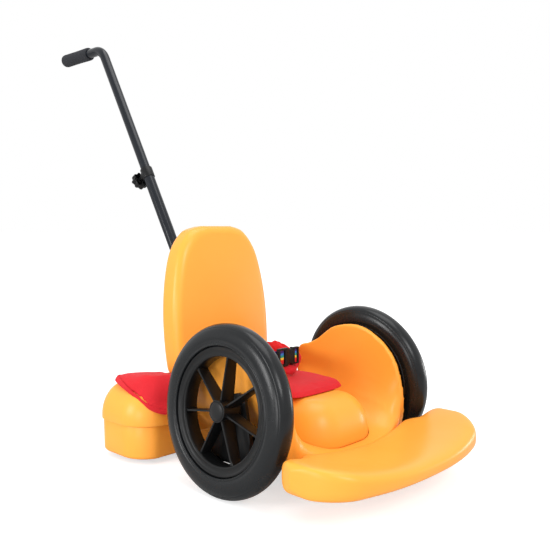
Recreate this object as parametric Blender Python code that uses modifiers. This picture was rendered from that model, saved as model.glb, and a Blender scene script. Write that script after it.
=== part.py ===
"""Toddler mobility ride-on: a low moulded seat body between two cambered push wheels.

Units are metres, +Z is up and the rider faces -Y. Inside the file Y is measured from the wheel
axles; one empty carries every piece to the object's own origin, the middle of its base.
"""
import math

import bmesh
import bpy
from mathutils import Matrix, Vector

# Clearances
GAP = 0.0003                    # seated faces
RUNNING_GAP = 0.0006            # a turning or sliding fit

# Push wheels
WHEEL_RADIUS = 0.1443
WHEEL_TRACK = 0.380             # between the tyres' middle planes at axle height
WHEEL_CAMBER = math.radians(5.6)
TYRE_WIDTH = 0.042
TYRE_HEIGHT = 0.037
TYRE_SIDEWALL = 0.010           # height of the straight part of the sidewall
RIM_WIDTH = 0.034
RIM_HEIGHT = 0.018
SPOKE_COUNT = 7
SPOKE_START = 0.606             # angle of the first spoke
SPOKE_THICKNESS = 0.005
SPOKE_DEPTH_HUB = 0.029
SPOKE_DEPTH_RIM = 0.021
HUB_RADIUS = 0.0165
HUB_WIDTH = 0.037
HUB_CAP_RADIUS = 0.0183
HUB_CAP_RISE = 0.0045
AXLE_RADIUS = 0.004
BEARING_RADIUS = 0.011
BEARING_WIDTH = 0.007
BEARING_RECESS = 0.0025
WHEEL_SEGMENTS = 40

# Moulded body
PARTING_Z = 0.070               # lower edge of the body beside the tub's floor
REAR_PARTING_Z = 0.0745         # joint between the upper and the lower moulding at the rear
BODY_WALL = 0.0035
BODY_FRONT = -0.116
BODY_REAR = 0.350
BODY_BAND = 0.006               # upright band above the parting line
BODY_TOP = 0.146                # flat top of the dome
BODY_ROUND = 0.052              # how far the dome's flat top stands in from its foot
SADDLE_HALF_WIDTH = 0.090
REAR_HALF_WIDTH = 0.2235
REAR_FRONT = 0.196              # front wall of the wide rear part
SADDLE_FILLET = 0.030           # hollow corner between the saddle and the rear part
FRONT_CORNER = 0.065            # round front corners of the rear part
WALL_SPLAY = 0.002              # slope of the front wall between both
NOSE_RADIUS = 0.064
REAR_CORNER = 0.040

# Rear lower moulding
LOWER_INSET = 0.003
LOWER_WALL = 0.004
LOWER_DECK = 0.005
LOWER_CLEARANCE = 0.010         # under the skirt
LOWER_DRAFT = 0.001
LOWER_ROUND = 0.008

# Side guard tub
TUB_WALL = 0.010
TUB_FRONT = -0.1445
TUB_SWEEP = 0.035               # how much further back its front edge lies at the wings
TUB_REAR = 0.146
GUARD_GAP = 0.011               # tyre's inner side to the guard's outer face
GUARD_HEIGHT = 0.2535
GUARD_LOBE_HEIGHT = 0.202

# Footrest
FOOT_FRONT = -0.285
FOOT_HALF_WIDTH = 0.222
FOOT_BOTTOM = 0.050
FOOT_TOP = 0.081
FOOT_END_RISE = 0.026
FOOT_SWEEP = 0.046              # how far its front edge bows back towards the ends
FOOT_FRONT_CORNER = 0.062
FOOT_TUB_GAP = 0.0012           # crack between its rear edge and the tub
FOOT_REAR_SWEEP = 0.0148        # its rear edge follows the tub: straight and curved share
FOOT_REAR_BOW = 0.0102
FOOT_REAR_CORNER = 0.028
FOOT_END_REAR = -0.141
FOOT_TUBE_RADIUS = 0.006
FOOT_TUBE_SPACING = 0.140
FOOT_TUBE_IN_REST = 0.095
FOOT_TUBE_UNDER_TUB = 0.110

# Chassis plate
PLATE_THICKNESS = 0.004
PLATE_HALF_WIDTH = 0.105
PLATE_REAR = 0.145

# Axle brackets
BRACKET_THICKNESS = 0.007
BRACKET_TOP = 0.027             # its round top over the axle
BRACKET_TOP_RADIUS = 0.020
BRACKET_FORWARD = 0.036
BRACKET_REARWARD = 0.075
BRACKET_REAR_EDGE = 0.022
BRACKET_BOSS_RADIUS = 0.0135
BOLT_RADIUS = 0.003
BOLT_HEAD_RADIUS = 0.0055
BOLT_HEAD_HEIGHT = 0.003
BOLT_GRIP = 0.0035              # how far a bolt reaches past the piece that it holds
BRACKET_FOOT = 0.004
BRACKET_FOOT_IN = 0.086         # inner end of the foot under the chassis plate
BRACKET_FOOT_FRONT = 0.027
BRACKET_FOOT_REAR = 0.059
BRACKET_BOLT_IN = 0.010
BRACKET_BOLT_FRONT = 0.010
BRACKET_BOLT_REAR = 0.045

# Castors
CASTOR_RADIUS = 0.023
CASTOR_WIDTH = 0.016
CASTOR_TRAIL = 0.015
CASTOR_AXLE_RADIUS = 0.003
FORK_PLATE = 0.0025
FORK_SIDE_GAP = 0.0012
FORK_CROWN_RADIUS = 0.0145
FORK_CROWN_THICKNESS = 0.0035
CASTOR_BASE_HALF = 0.019
CASTOR_BASE_THICKNESS = 0.003
KINGPIN_RADIUS = 0.004
FRONT_CASTOR_X = 0.066
FRONT_CASTOR_Y = 0.082
REAR_CASTOR_X = 0.128
REAR_CASTOR_Y = 0.258

# Backrest
BACK_BOTTOM = 0.1600
BACK_TOP = 0.4475
BACK_THICKNESS = 0.056
BACK_HALF_WIDTH = 0.126
BACK_LEAN = math.radians(4.4)
BACK_Y = 0.229                  # middle of the pad's thickness at its lower edge
BACK_EDGE_ROUND = 0.018
BACK_PLATE_HALF_WIDTH = 0.040   # bracket plate on its rear face
BACK_PLATE_THICKNESS = 0.004
BACK_PLATE_LOW = 0.012
BACK_PLATE_HIGH = 0.100
BACK_BLOCK_HALF_WIDTH = 0.021   # block round the pole's foot
BACK_BLOCK_LOW = 0.016
BACK_BLOCK_HIGH = 0.048
BACK_BLOCK_WALL = 0.006

# Push handle
HANDLE_HEIGHT = 0.890
HANDLE_LEAN = math.radians(30.3)
POLE_RADIUS = 0.0122
POLE_WALL = 0.0010
POLE_Y = 0.279                  # the upright foot of the pole
POLE_BEND_Z = 0.236
POLE_BEND_RADIUS = 0.060
POLE_TOP_Z = 0.576
UPPER_TUBE_GAP = 0.0003
UPPER_TUBE_WALL = 0.0015
UPPER_TUBE_INSERT = 0.110
UPPER_BEND_RADIUS = 0.044
GRIP_RADIUS = 0.0156
GRIP_LENGTH = 0.115
GRIP_START = 0.056              # from the corner of the bend to the front of the grip
GRIP_END_CAP = 0.004
SOCKET_WALL = 0.004
SOCKET_HEIGHT = 0.055
GROMMET_WIDTH = 0.006
GROMMET_HEIGHT = 0.004

# Height clamp
COLLAR_WALL = 0.0014
COLLAR_LENGTH = 0.022
COLLAR_LIP = 0.003
COLLAR_BOSS_RADIUS = 0.0075
COLLAR_BOSS_REACH = 0.010
KNOB_RADIUS = 0.0195
KNOB_HEIGHT = 0.015
KNOB_LOBES = 8
KNOB_FLUTE = 0.0035
KNOB_WALL = 0.004
KNOB_STAND_OFF = 0.003
KNOB_STUD_RADIUS = 0.004
KNOB_DROP = 0.0085              # of the knob's axis below the pole's top end

# Seat pad
PAD_TOP = 0.1645
PAD_EDGE = 0.011                # height of its hem
PAD_DRAW = 0.003                # how far the hem draws in above and below

# Lap belt
BELT_HALF_SPAN = 0.096
BELT_ANCHOR_Y = 0.186
BELT_FRONT_Y = 0.0445
BELT_RISE = 0.014
BELT_WIDTH = 0.038
BELT_THICKNESS = 0.005
BELT_END = math.radians(62)     # round the lap, where a side part meets the front part
WEBBING_WIDTH = 0.025
WEBBING_THICKNESS = 0.0025
BUCKLE_LENGTH = 0.056
BUCKLE_LIFT = 0.006             # over the middle of the belt's width
BUCKLE_HEIGHT = 0.034
BUCKLE_THICKNESS = 0.011
BUCKLE_SPLIT = 0.30             # share of the buckle's length that the prong half shows

SIDES = {"left": 1, "right": -1}


# Scene and collections
for old in list(bpy.data.objects):
    bpy.data.objects.remove(old, do_unlink=True)

parts = bpy.data.collections.new("toddler_ride_on")
cutters = bpy.data.collections.new("cutters")
bpy.context.scene.collection.children.link(parts)
bpy.context.scene.collection.children.link(cutters)


def material(name, colour, roughness, metallic=0.0):
    """A Principled BSDF finish."""
    made = bpy.data.materials.new(name)
    made.use_nodes = True
    shader = made.node_tree.nodes["Principled BSDF"]
    shader.inputs["Base Color"].default_value = (*colour, 1.0)
    shader.inputs["Roughness"].default_value = roughness
    shader.inputs["Metallic"].default_value = metallic
    return made


ORANGE = material("orange_moulding", (1.0, 0.36, 0.06), 0.42)
RED_FABRIC = material("red_fabric", (0.62, 0.02, 0.03), 0.85)
TYRE_RUBBER = material("tyre_rubber", (0.045, 0.048, 0.050), 0.55)
BLACK_NYLON = material("black_nylon", (0.012, 0.013, 0.014), 0.45)
BLACK_PAINT = material("black_painted_steel", (0.015, 0.018, 0.024), 0.25, 0.3)
BRIGHT_STEEL = material("bright_steel", (0.60, 0.60, 0.58), 0.25, 1.0)
GREY_TREAD = material("grey_tread", (0.18, 0.18, 0.18), 0.60)
BLACK_FOAM = material("black_foam", (0.020, 0.020, 0.021), 0.90)
STRIPED_WEBBING = material("striped_webbing", (0.10, 0.25, 0.30), 0.80)


def empty(name, location=(0, 0, 0), parent=None, rotation=(0, 0, 0)):
    """An empty that carries pieces; on a moving piece it stands on the joint's axis."""
    made = bpy.data.objects.new(name, None)
    made.location = location
    made.rotation_euler = rotation
    made.parent = parent
    parts.objects.link(made)
    return made


def mesh_of(bm, name, smooth=math.radians(40)):
    """Closed mesh of a bmesh, faces outward, round areas shaded smooth."""
    bmesh.ops.remove_doubles(bm, verts=bm.verts, dist=1e-6)
    bmesh.ops.recalc_face_normals(bm, faces=bm.faces)
    mesh = bpy.data.meshes.new(name)
    bm.to_mesh(mesh)
    bm.free()
    mesh.shade_smooth()
    mesh.set_sharp_from_angle(angle=smooth)
    return mesh


def place(name, mesh, finish, parent, location=(0, 0, 0), rotation=(0, 0, 0)):
    """A named sub-part with its own finish, under the empty that carries it."""
    made = bpy.data.objects.new(name, mesh)
    if not mesh.materials:
        mesh.materials.append(finish)
    made.location = location
    made.rotation_euler = rotation
    made.parent = parent
    parts.objects.link(made)
    return made


def tool(name, mesh, parent, location=(0, 0, 0), rotation=(0, 0, 0)):
    """A cutter or a body to join: hidden, and never a part of its own."""
    made = bpy.data.objects.new(name, mesh)
    made.location = location
    made.rotation_euler = rotation
    made.parent = parent
    made.hide_render = True
    made.display_type = "WIRE"
    cutters.objects.link(made)
    return made


def combine(target, other, operation):
    """Adds one Boolean to a part: DIFFERENCE cuts, UNION joins."""
    step = target.modifiers.new(operation.lower() + "_" + other.name, "BOOLEAN")
    step.operation = operation
    step.object = other
    step.solver = "EXACT"


def turned_mesh(name, profile, segments):
    """Turns a closed profile of (radius, height) points about Z, a vertex straight at -Y."""
    bm = bmesh.new()
    ring = [bm.verts.new((0.0, -radius, height)) for radius, height in profile]
    edges = [bm.edges.new((ring[i], ring[(i + 1) % len(ring)])) for i in range(len(ring))]
    bmesh.ops.spin(bm, geom=ring + edges, cent=(0, 0, 0), axis=(0, 0, 1),
                   angle=2 * math.pi, steps=segments, use_merge=True)
    bmesh.ops.remove_doubles(bm, verts=bm.verts, dist=1e-6)
    bmesh.ops.dissolve_degenerate(bm, dist=1e-6, edges=bm.edges)
    return mesh_of(bm, name)


def rod_mesh(name, radius, bottom, top, segments=24):
    """A plain round bar about Z."""
    return turned_mesh(name, [(0, bottom), (radius, bottom), (radius, top), (0, top)], segments)


def tube_mesh(name, outer, inner, bottom, top, segments=24):
    """A plain round tube about Z."""
    profile = [(outer, bottom), (outer, top), (inner, top), (inner, bottom)]
    return turned_mesh(name, profile, segments)


def box_mesh(name, low, high, bevel=0.0, segments=2):
    """A block between two corners, its edges rounded."""
    bm = bmesh.new()
    bmesh.ops.create_cube(bm, size=1.0)
    size = [high[i] - low[i] for i in range(3)]
    middle = [(high[i] + low[i]) / 2 for i in range(3)]
    bmesh.ops.scale(bm, vec=size, verts=bm.verts)
    bmesh.ops.translate(bm, vec=middle, verts=bm.verts)
    if bevel:
        bmesh.ops.bevel(bm, geom=bm.edges[:], offset=bevel, segments=segments,
                        profile=0.5, affect="EDGES", material=-1)
    return mesh_of(bm, name)


def loft_mesh(name, rings, cap=True, smooth=math.radians(50)):
    """Skins closed rings of equal counts one after another and closes both ends."""
    bm = bmesh.new()
    rows = [[bm.verts.new(point) for point in ring] for ring in rings]
    count = len(rows[0])
    for row, following in zip(rows, rows[1:]):
        for i in range(count):
            j = (i + 1) % count
            bm.faces.new((row[i], row[j], following[j], following[i]))
    if cap:
        bm.faces.new(rows[0])
        bm.faces.new(rows[-1])
    return mesh_of(bm, name, smooth)


def plate_mesh(name, outline, thickness, bevel=0.0):
    """A flat outline in XY with its middle plane at z = 0, through a filled 2D curve."""
    curve = bpy.data.curves.new(name, "CURVE")
    curve.dimensions = "2D"
    curve.fill_mode = "BOTH"
    curve.extrude = thickness / 2 - bevel
    curve.bevel_depth = bevel
    curve.bevel_resolution = 1
    curve.offset = -bevel
    spline = curve.splines.new("POLY")
    spline.points.add(len(outline) - 1)
    for point, (x, y) in zip(spline.points, outline):
        point.co = (x, y, 0.0, 1.0)
    spline.use_cyclic_u = True
    return curve_as_mesh(name, curve)


def curve_as_mesh(name, curve):
    """The welded mesh of a curve, so that it can be cut, joined or lofted further."""
    holder = bpy.data.objects.new(name + "_curve", curve)
    bpy.context.scene.collection.objects.link(holder)
    bpy.context.view_layer.update()
    evaluated = holder.evaluated_get(bpy.context.evaluated_depsgraph_get())
    mesh = bpy.data.meshes.new_from_object(evaluated)
    bpy.data.objects.remove(holder, do_unlink=True)
    bm = bmesh.new()
    bm.from_mesh(mesh)
    bpy.data.meshes.remove(mesh)
    return mesh_of(bm, name)


def rail_mesh(name, route, radius, resolution=8):
    """A round bar along a route of points, with filled caps."""
    curve = bpy.data.curves.new(name, "CURVE")
    curve.dimensions = "3D"
    curve.bevel_depth = radius
    curve.bevel_resolution = resolution
    curve.use_fill_caps = True
    spline = curve.splines.new("POLY")
    spline.points.add(len(route) - 1)
    for point, place_at in zip(spline.points, route):
        point.co = (*place_at, 1.0)
    return curve_as_mesh(name, curve)


def arc_points(corner, towards_start, towards_end, radius, count):
    """Points of the arc that rounds a corner between two straight runs."""
    start = Vector(towards_start).normalized()
    end = Vector(towards_end).normalized()
    half = start.angle(end) / 2
    bisector = (start + end).normalized()
    centre = Vector(corner) + bisector * (radius / math.sin(half))
    first = Vector(corner) + start * (radius / math.tan(half)) - centre
    last = Vector(corner) + end * (radius / math.tan(half)) - centre
    axis = first.cross(last).normalized()
    sweep = first.angle(last)
    return [centre + Matrix.Rotation(sweep * i / count, 3, axis) @ first for i in range(count + 1)]


def smooth_step(value):
    """0 to 1 with level ends."""
    value = min(max(value, 0.0), 1.0)
    return value * value * (3 - 2 * value)


def spline_points(knots, per_span):
    """Catmull-Rom curve through the knots, ends included."""
    out = []
    for i in range(len(knots) - 1):
        before = Vector(knots[max(i - 1, 0)])
        a = Vector(knots[i])
        b = Vector(knots[i + 1])
        after = Vector(knots[min(i + 2, len(knots) - 1)])
        for step in range(per_span):
            t = step / per_span
            out.append(0.5 * ((2 * a) + (b - before) * t
                              + (2 * before - 5 * a + 4 * b - after) * t * t
                              + (3 * a - before - 3 * b + after) * t ** 3))
    out.append(Vector(knots[-1]))
    return out


# Wheel centre height follows from the cambered tyre, whose lowest point touches the floor.
def tyre_profile():
    """Closed section of the tyre: flat seat on the rim, straight sidewalls, full crown."""
    seat = WHEEL_RADIUS - TYRE_HEIGHT
    widest = seat + TYRE_SIDEWALL
    half = TYRE_WIDTH / 2
    crown = WHEEL_RADIUS - widest
    section = [(seat, -half * 0.90), (seat + TYRE_SIDEWALL * 0.25, -half * 0.97)]
    count = 7
    for i in range(count + 1):
        angle = -math.pi / 2 + math.pi * i / count
        across = half * math.copysign(abs(math.sin(angle)) ** 0.85, angle)
        section.append((widest + crown * abs(math.cos(angle)) ** 0.80, across))
    section += [(seat + TYRE_SIDEWALL * 0.25, half * 0.97), (seat, half * 0.90)]
    return section


def reach_down(section):
    """How far a turned section reaches below its centre once it is cambered."""
    return max(radius * math.cos(WHEEL_CAMBER) - across * math.sin(WHEEL_CAMBER)
               for radius, across in section)


AXLE_Z = reach_down([(radius, -across) for radius, across in tyre_profile()])
GRIP_Z = HANDLE_HEIGHT - GRIP_RADIUS


def pole_axis_y(height):
    """Where the leaning part of the handle's axis is at a height."""
    return POLE_Y + (height - POLE_BEND_Z) * math.tan(HANDLE_LEAN)


GRIP_REAR = pole_axis_y(GRIP_Z) + GRIP_START + GRIP_LENGTH
AXLE_Y = -(GRIP_REAR + FOOT_FRONT) / 2

frame = empty("object_origin", (0, AXLE_Y, 0))


def wheel_frame(side, name):
    """Empty at a wheel's centre: its Z is the axle, outboard, and its Y is up the wheel."""
    sign = SIDES[side]
    outward = Vector((sign * math.cos(WHEEL_CAMBER), 0, math.sin(WHEEL_CAMBER)))
    upward = Vector((-sign * math.sin(WHEEL_CAMBER), 0, math.cos(WHEEL_CAMBER)))
    along = upward.cross(outward)
    turn = Matrix((along, upward, outward)).transposed()
    made = empty(name, (sign * WHEEL_TRACK / 2, 0, AXLE_Z), frame)
    made.rotation_euler = turn.to_euler()
    return made


# Push wheels: tyre, spoked rim, hub cap, bearings, spacer and the axle that they run on
def rim_ring_profile():
    """Closed section of the rim band that carries the tyre."""
    outer = WHEEL_RADIUS - TYRE_HEIGHT - GAP
    inner = outer - RIM_HEIGHT
    half = RIM_WIDTH / 2
    soft = min(0.004, half / 3, RIM_HEIGHT / 3)
    return [(outer, -half + soft), (outer, half - soft), (outer - soft, half),
            (inner + soft, half), (inner, half - soft),
            (inner, -half + soft), (inner + soft, -half), (outer - soft, -half)]


def hub_profile():
    """Closed section of the hub: a bearing seat at each end of a smaller bore."""
    half = HUB_WIDTH / 2
    seat = BEARING_RADIUS + GAP
    bore = BEARING_RADIUS - 0.0015
    depth = BEARING_RECESS + BEARING_WIDTH + GAP
    return [(HUB_RADIUS, -half), (HUB_RADIUS, half), (seat, half), (seat, half - depth),
            (bore, half - depth), (bore, -half + depth), (seat, -half + depth), (seat, -half)]


def spoke_mesh():
    """One blade: thin across the wheel, deep along the axle, deeper at the hub."""
    start = (HUB_RADIUS + BEARING_RADIUS) / 2 + 0.001
    end = WHEEL_RADIUS - TYRE_HEIGHT - RIM_HEIGHT / 2
    bm = bmesh.new()
    bmesh.ops.create_cube(bm, size=1.0)
    for vert in bm.verts:
        outer = vert.co.x > 0
        depth = SPOKE_DEPTH_RIM if outer else SPOKE_DEPTH_HUB
        vert.co.x = end if outer else start
        vert.co.y *= SPOKE_THICKNESS
        vert.co.z *= depth
    return mesh_of(bm, "spoke")


HUB_HALF = HUB_WIDTH / 2
BEARING_OUT = HUB_HALF - BEARING_RECESS
BEARING_IN = BEARING_OUT - BEARING_WIDTH
TYRE_MESH = turned_mesh("tyre", tyre_profile(), WHEEL_SEGMENTS)
RIM_RING = turned_mesh("rim_ring", rim_ring_profile(), WHEEL_SEGMENTS)
HUB_MESH = turned_mesh("hub", hub_profile(), 16)
SPOKE_MESH = spoke_mesh()


def hub_cap_mesh():
    """Domed cap with a raised lip and a spigot in the hub's mouth."""
    face = HUB_HALF + GAP
    spigot = BEARING_RADIUS
    lip = 0.0016
    profile = [(0, BEARING_OUT + 0.0018), (spigot, BEARING_OUT + 0.0018), (spigot, face),
               (HUB_CAP_RADIUS, face), (HUB_CAP_RADIUS, face + lip),
               (HUB_CAP_RADIUS - lip, face + lip * 1.3), (HUB_CAP_RADIUS - lip * 1.8, face + lip)]
    crown = HUB_CAP_RADIUS - lip * 1.8
    for i in range(1, 5):
        angle = math.pi / 2 * i / 4
        profile.append((crown * math.cos(angle), face + lip + (HUB_CAP_RISE - lip) * math.sin(angle)))
    return turned_mesh("hub_cap", profile, 16)


AXLE_COLLAR = 0.0075
PLATE_FACE = -(TYRE_WIDTH / 2 + GUARD_GAP)      # guard's outer face, along the axle
BOSS_END = -HUB_HALF - 0.0030                   # outboard end of the bracket's boss
AXLE_IN = PLATE_FACE + GAP + 0.0010


def axle_mesh():
    """Axle with a shoulder between the boss and the inner bearing and a head outside the outer."""
    shoulder_out = -BEARING_OUT - GAP
    head_in = BEARING_OUT + GAP
    profile = [(0, AXLE_IN), (AXLE_RADIUS, AXLE_IN), (AXLE_RADIUS, BOSS_END + GAP),
               (AXLE_COLLAR, BOSS_END + GAP), (AXLE_COLLAR, shoulder_out),
               (AXLE_RADIUS, shoulder_out), (AXLE_RADIUS, head_in),
               (AXLE_RADIUS + 0.0022, head_in), (AXLE_RADIUS + 0.0022, head_in + 0.0010),
               (0, head_in + 0.0010)]
    return turned_mesh("axle", profile, 12)


HUB_CAP_MESH = hub_cap_mesh()
AXLE_MESH = axle_mesh()
BEARING_MESH = tube_mesh("bearing", BEARING_RADIUS, AXLE_RADIUS + GAP, -BEARING_WIDTH / 2,
                         BEARING_WIDTH / 2, 16)
SPACER_MESH = tube_mesh("spacer", AXLE_RADIUS + 0.0018, AXLE_RADIUS + GAP, -BEARING_IN + GAP,
                        BEARING_IN - GAP, 12)

for side in SIDES:
    hub_frame = wheel_frame(side, "wheel_axis_" + side)
    place("tyre_" + side, TYRE_MESH, TYRE_RUBBER, hub_frame)
    rim = place("spoked_rim_" + side, RIM_RING.copy(), BLACK_NYLON, hub_frame)
    for number in range(SPOKE_COUNT):
        turn = SPOKE_START + 2 * math.pi * number / SPOKE_COUNT
        combine(rim, tool(f"spoke_{side}_{number}", SPOKE_MESH, hub_frame, rotation=(0, 0, turn)),
                "UNION")
    combine(rim, tool("hub_" + side, HUB_MESH, hub_frame), "UNION")
    place("hub_cap_" + side, HUB_CAP_MESH, BLACK_NYLON, hub_frame)
    bearing_offset = BEARING_IN + BEARING_WIDTH / 2
    place(f"outer_bearing_{side}", BEARING_MESH, BRIGHT_STEEL, hub_frame, (0, 0, bearing_offset))
    place(f"inner_bearing_{side}", BEARING_MESH, BRIGHT_STEEL, hub_frame, (0, 0, -bearing_offset))
    place("bearing_spacer_" + side, SPACER_MESH, BRIGHT_STEEL, hub_frame)
    place("axle_" + side, AXLE_MESH, BRIGHT_STEEL, hub_frame)


# Moulded seat body: a dome over one plan outline, narrow between the wheels and wide behind them
def arc(centre, radius, start, end, count):
    """Plan points of an arc between two angles."""
    return [(centre[0] + radius * math.cos(start + (end - start) * i / count),
             centre[1] + radius * math.sin(start + (end - start) * i / count)) for i in range(count + 1)]


def rear_corners(inset):
    """Front and rear corner arcs of the wide rear part, on its right-hand side."""
    quarter = math.pi / 2
    front = (REAR_HALF_WIDTH - FRONT_CORNER, REAR_FRONT + FRONT_CORNER)
    radius = max(REAR_CORNER - inset, 0.004)
    rear = (REAR_HALF_WIDTH - inset - radius, BODY_REAR - inset - radius)
    return (arc(front, FRONT_CORNER - inset, -quarter, 0, 5) + arc(rear, radius, 0, quarter, 5))


def body_outline(inset):
    """Right-hand half of the seat body's plan, from the front's middle to the rear's."""
    quarter = math.pi / 2
    nose = (SADDLE_HALF_WIDTH - NOSE_RADIUS, BODY_FRONT + NOSE_RADIUS)
    hollow = (SADDLE_HALF_WIDTH + SADDLE_FILLET, REAR_FRONT - SADDLE_FILLET - WALL_SPLAY)
    side = (SADDLE_HALF_WIDTH - inset, (nose[1] + hollow[1]) / 2)
    return (arc(nose, NOSE_RADIUS - inset, -quarter, 0, 5) + [side]
            + arc(hollow, SADDLE_FILLET + inset, 2 * quarter, quarter, 4) + rear_corners(inset))


def full_loop(half, height):
    """Both halves of a plan as one closed ring; a height may be a number or a function of X, Y."""
    ring = list(half) + [(-x, y) for x, y in reversed(half)]
    return [Vector((x, y, height(x, y) if callable(height) else height)) for x, y in ring]


def close_strip(bm, row):
    """Closes a symmetric ring with a strip of faces from side to side."""
    count = len(row)
    for i in range(count // 2 - 1):
        bm.faces.new((row[i], row[i + 1], row[count - 2 - i], row[count - 1 - i]))


def shell_grid(name, rings, closed=False):
    """Skin through closed symmetric rings: the last ring closed with a strip, or both ends."""
    bm = bmesh.new()
    rows = [[bm.verts.new(point) for point in ring] for ring in rings]
    count = len(rows[0])
    for row, following in zip(rows, rows[1:]):
        for i in range(count):
            j = (i + 1) % count
            bm.faces.new((row[i], row[j], following[j], following[i]))
    close_strip(bm, rows[-1])
    if closed:
        close_strip(bm, rows[0])
    return mesh_of(bm, name)


def parting_height(along):
    """The body's lower edge steps up from the tub's floor to the rear lower moulding."""
    return PARTING_Z + (REAR_PARTING_Z - PARTING_Z) * smooth_step((along - TUB_REAR) / (REAR_FRONT - TUB_REAR))


def dome_ring(angle, offset=0.0):
    """Ring of the body's dome at an angle up from its upright band, grown by an offset."""
    inset = BODY_ROUND * (1 - math.cos(angle)) - offset * math.cos(angle)

    def height(across, along):
        foot = parting_height(along) + BODY_BAND
        return foot + (BODY_TOP - foot + offset) * math.sin(angle)

    return full_loop(body_outline(inset), height)


DOME_LEVELS = [math.radians(a) for a in (0, 15, 33, 52, 71, 90)]


def dome_rings(offset=0.0):
    """The dome's rings from the parting line to its flat top, grown by an offset."""
    foot = full_loop(body_outline(-offset), lambda across, along: parting_height(along) - offset)
    return [foot] + [dome_ring(angle, offset) for angle in DOME_LEVELS]


def solidify(target, thickness, offset=-1.0):
    """Gives an open skin its wall."""
    step = target.modifiers.new("wall", "SOLIDIFY")
    step.thickness = thickness
    step.offset = offset
    step.use_even_offset = True
    step.use_rim = True


upper = place("seat_body_shell", shell_grid("seat_body_shell", dome_rings()), ORANGE, frame)
solidify(upper, BODY_WALL)

# the push handle's foot goes down through the dome behind the backrest
pole_hole = rod_mesh("pole_hole", POLE_RADIUS + 0.0015, REAR_PARTING_Z + 0.02, BODY_TOP + 0.02, 16)
combine(upper, tool("pole_hole", pole_hole, frame, (0, POLE_Y, 0), (0, 0, math.pi / 16)), "DIFFERENCE")


# Rear lower moulding: a skirt round the rear castors under a flat deck
def rear_outline(inset):
    """Plan of the wide rear part alone, its front wall a little behind the shell's."""
    return [(x, max(y, REAR_FRONT + 0.004 + inset)) for x, y in rear_corners(inset)]


def skirt_ring(inset, height):
    return full_loop(rear_outline(inset), height)


foot_z = LOWER_CLEARANCE
skirt_rings = [skirt_ring(LOWER_INSET + LOWER_DRAFT + LOWER_ROUND + LOWER_WALL * 0.4, foot_z)]
skirt_rings += [skirt_ring(LOWER_INSET + LOWER_DRAFT + LOWER_ROUND * 0.45, foot_z + LOWER_ROUND * 0.16),
                skirt_ring(LOWER_INSET + LOWER_DRAFT, foot_z + LOWER_ROUND),
                skirt_ring(LOWER_INSET, REAR_PARTING_Z - GAP)]
lower = place("rear_lower_shell", loft_mesh("rear_lower_shell", skirt_rings), ORANGE, frame)
inner_rings = [skirt_ring(LOWER_INSET + LOWER_DRAFT + LOWER_ROUND + LOWER_WALL, foot_z - 0.01),
               skirt_ring(LOWER_INSET + LOWER_DRAFT + LOWER_ROUND + LOWER_WALL, foot_z + LOWER_WALL * 0.5),
               skirt_ring(LOWER_INSET + LOWER_DRAFT + LOWER_WALL, foot_z + LOWER_ROUND + LOWER_WALL),
               skirt_ring(LOWER_INSET + LOWER_WALL, REAR_PARTING_Z - GAP - LOWER_DECK)]
combine(lower, tool("skirt_hollow", loft_mesh("skirt_hollow", inner_rings), frame), "DIFFERENCE")


# Side guard tub: one sheet from wing to wing, cut round the seat body
def guard_x(height):
    """Outer face of a side guard, parallel to the cambered wheel."""
    inner_side = (TYRE_WIDTH / 2 + GUARD_GAP) / math.cos(WHEEL_CAMBER)
    return WHEEL_TRACK / 2 - inner_side - (height - AXLE_Z) * math.tan(WHEEL_CAMBER)


TUB_FLOOR = PARTING_Z - 2 * GAP
TUB_FOOT = TUB_FRONT + TUB_SWEEP
GUARD_EDGE = [(TUB_FOOT, TUB_FLOOR), (TUB_FOOT - 0.0065, 0.100), (TUB_FOOT - 0.0065, 0.140),
              (-0.101, 0.195), (-0.067, 0.233), (-0.018, GUARD_HEIGHT),
              (0.040, GUARD_HEIGHT - 0.008), (0.084, GUARD_LOBE_HEIGHT + 0.015),
              (0.112, GUARD_LOBE_HEIGHT + 0.002), (TUB_REAR - 0.014, GUARD_LOBE_HEIGHT - 0.004),
              (TUB_REAR, GUARD_LOBE_HEIGHT - 0.022), (TUB_REAR, 0.140), (TUB_REAR - 0.004, 0.100),
              (TUB_REAR - 0.008, TUB_FLOOR)]


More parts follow.
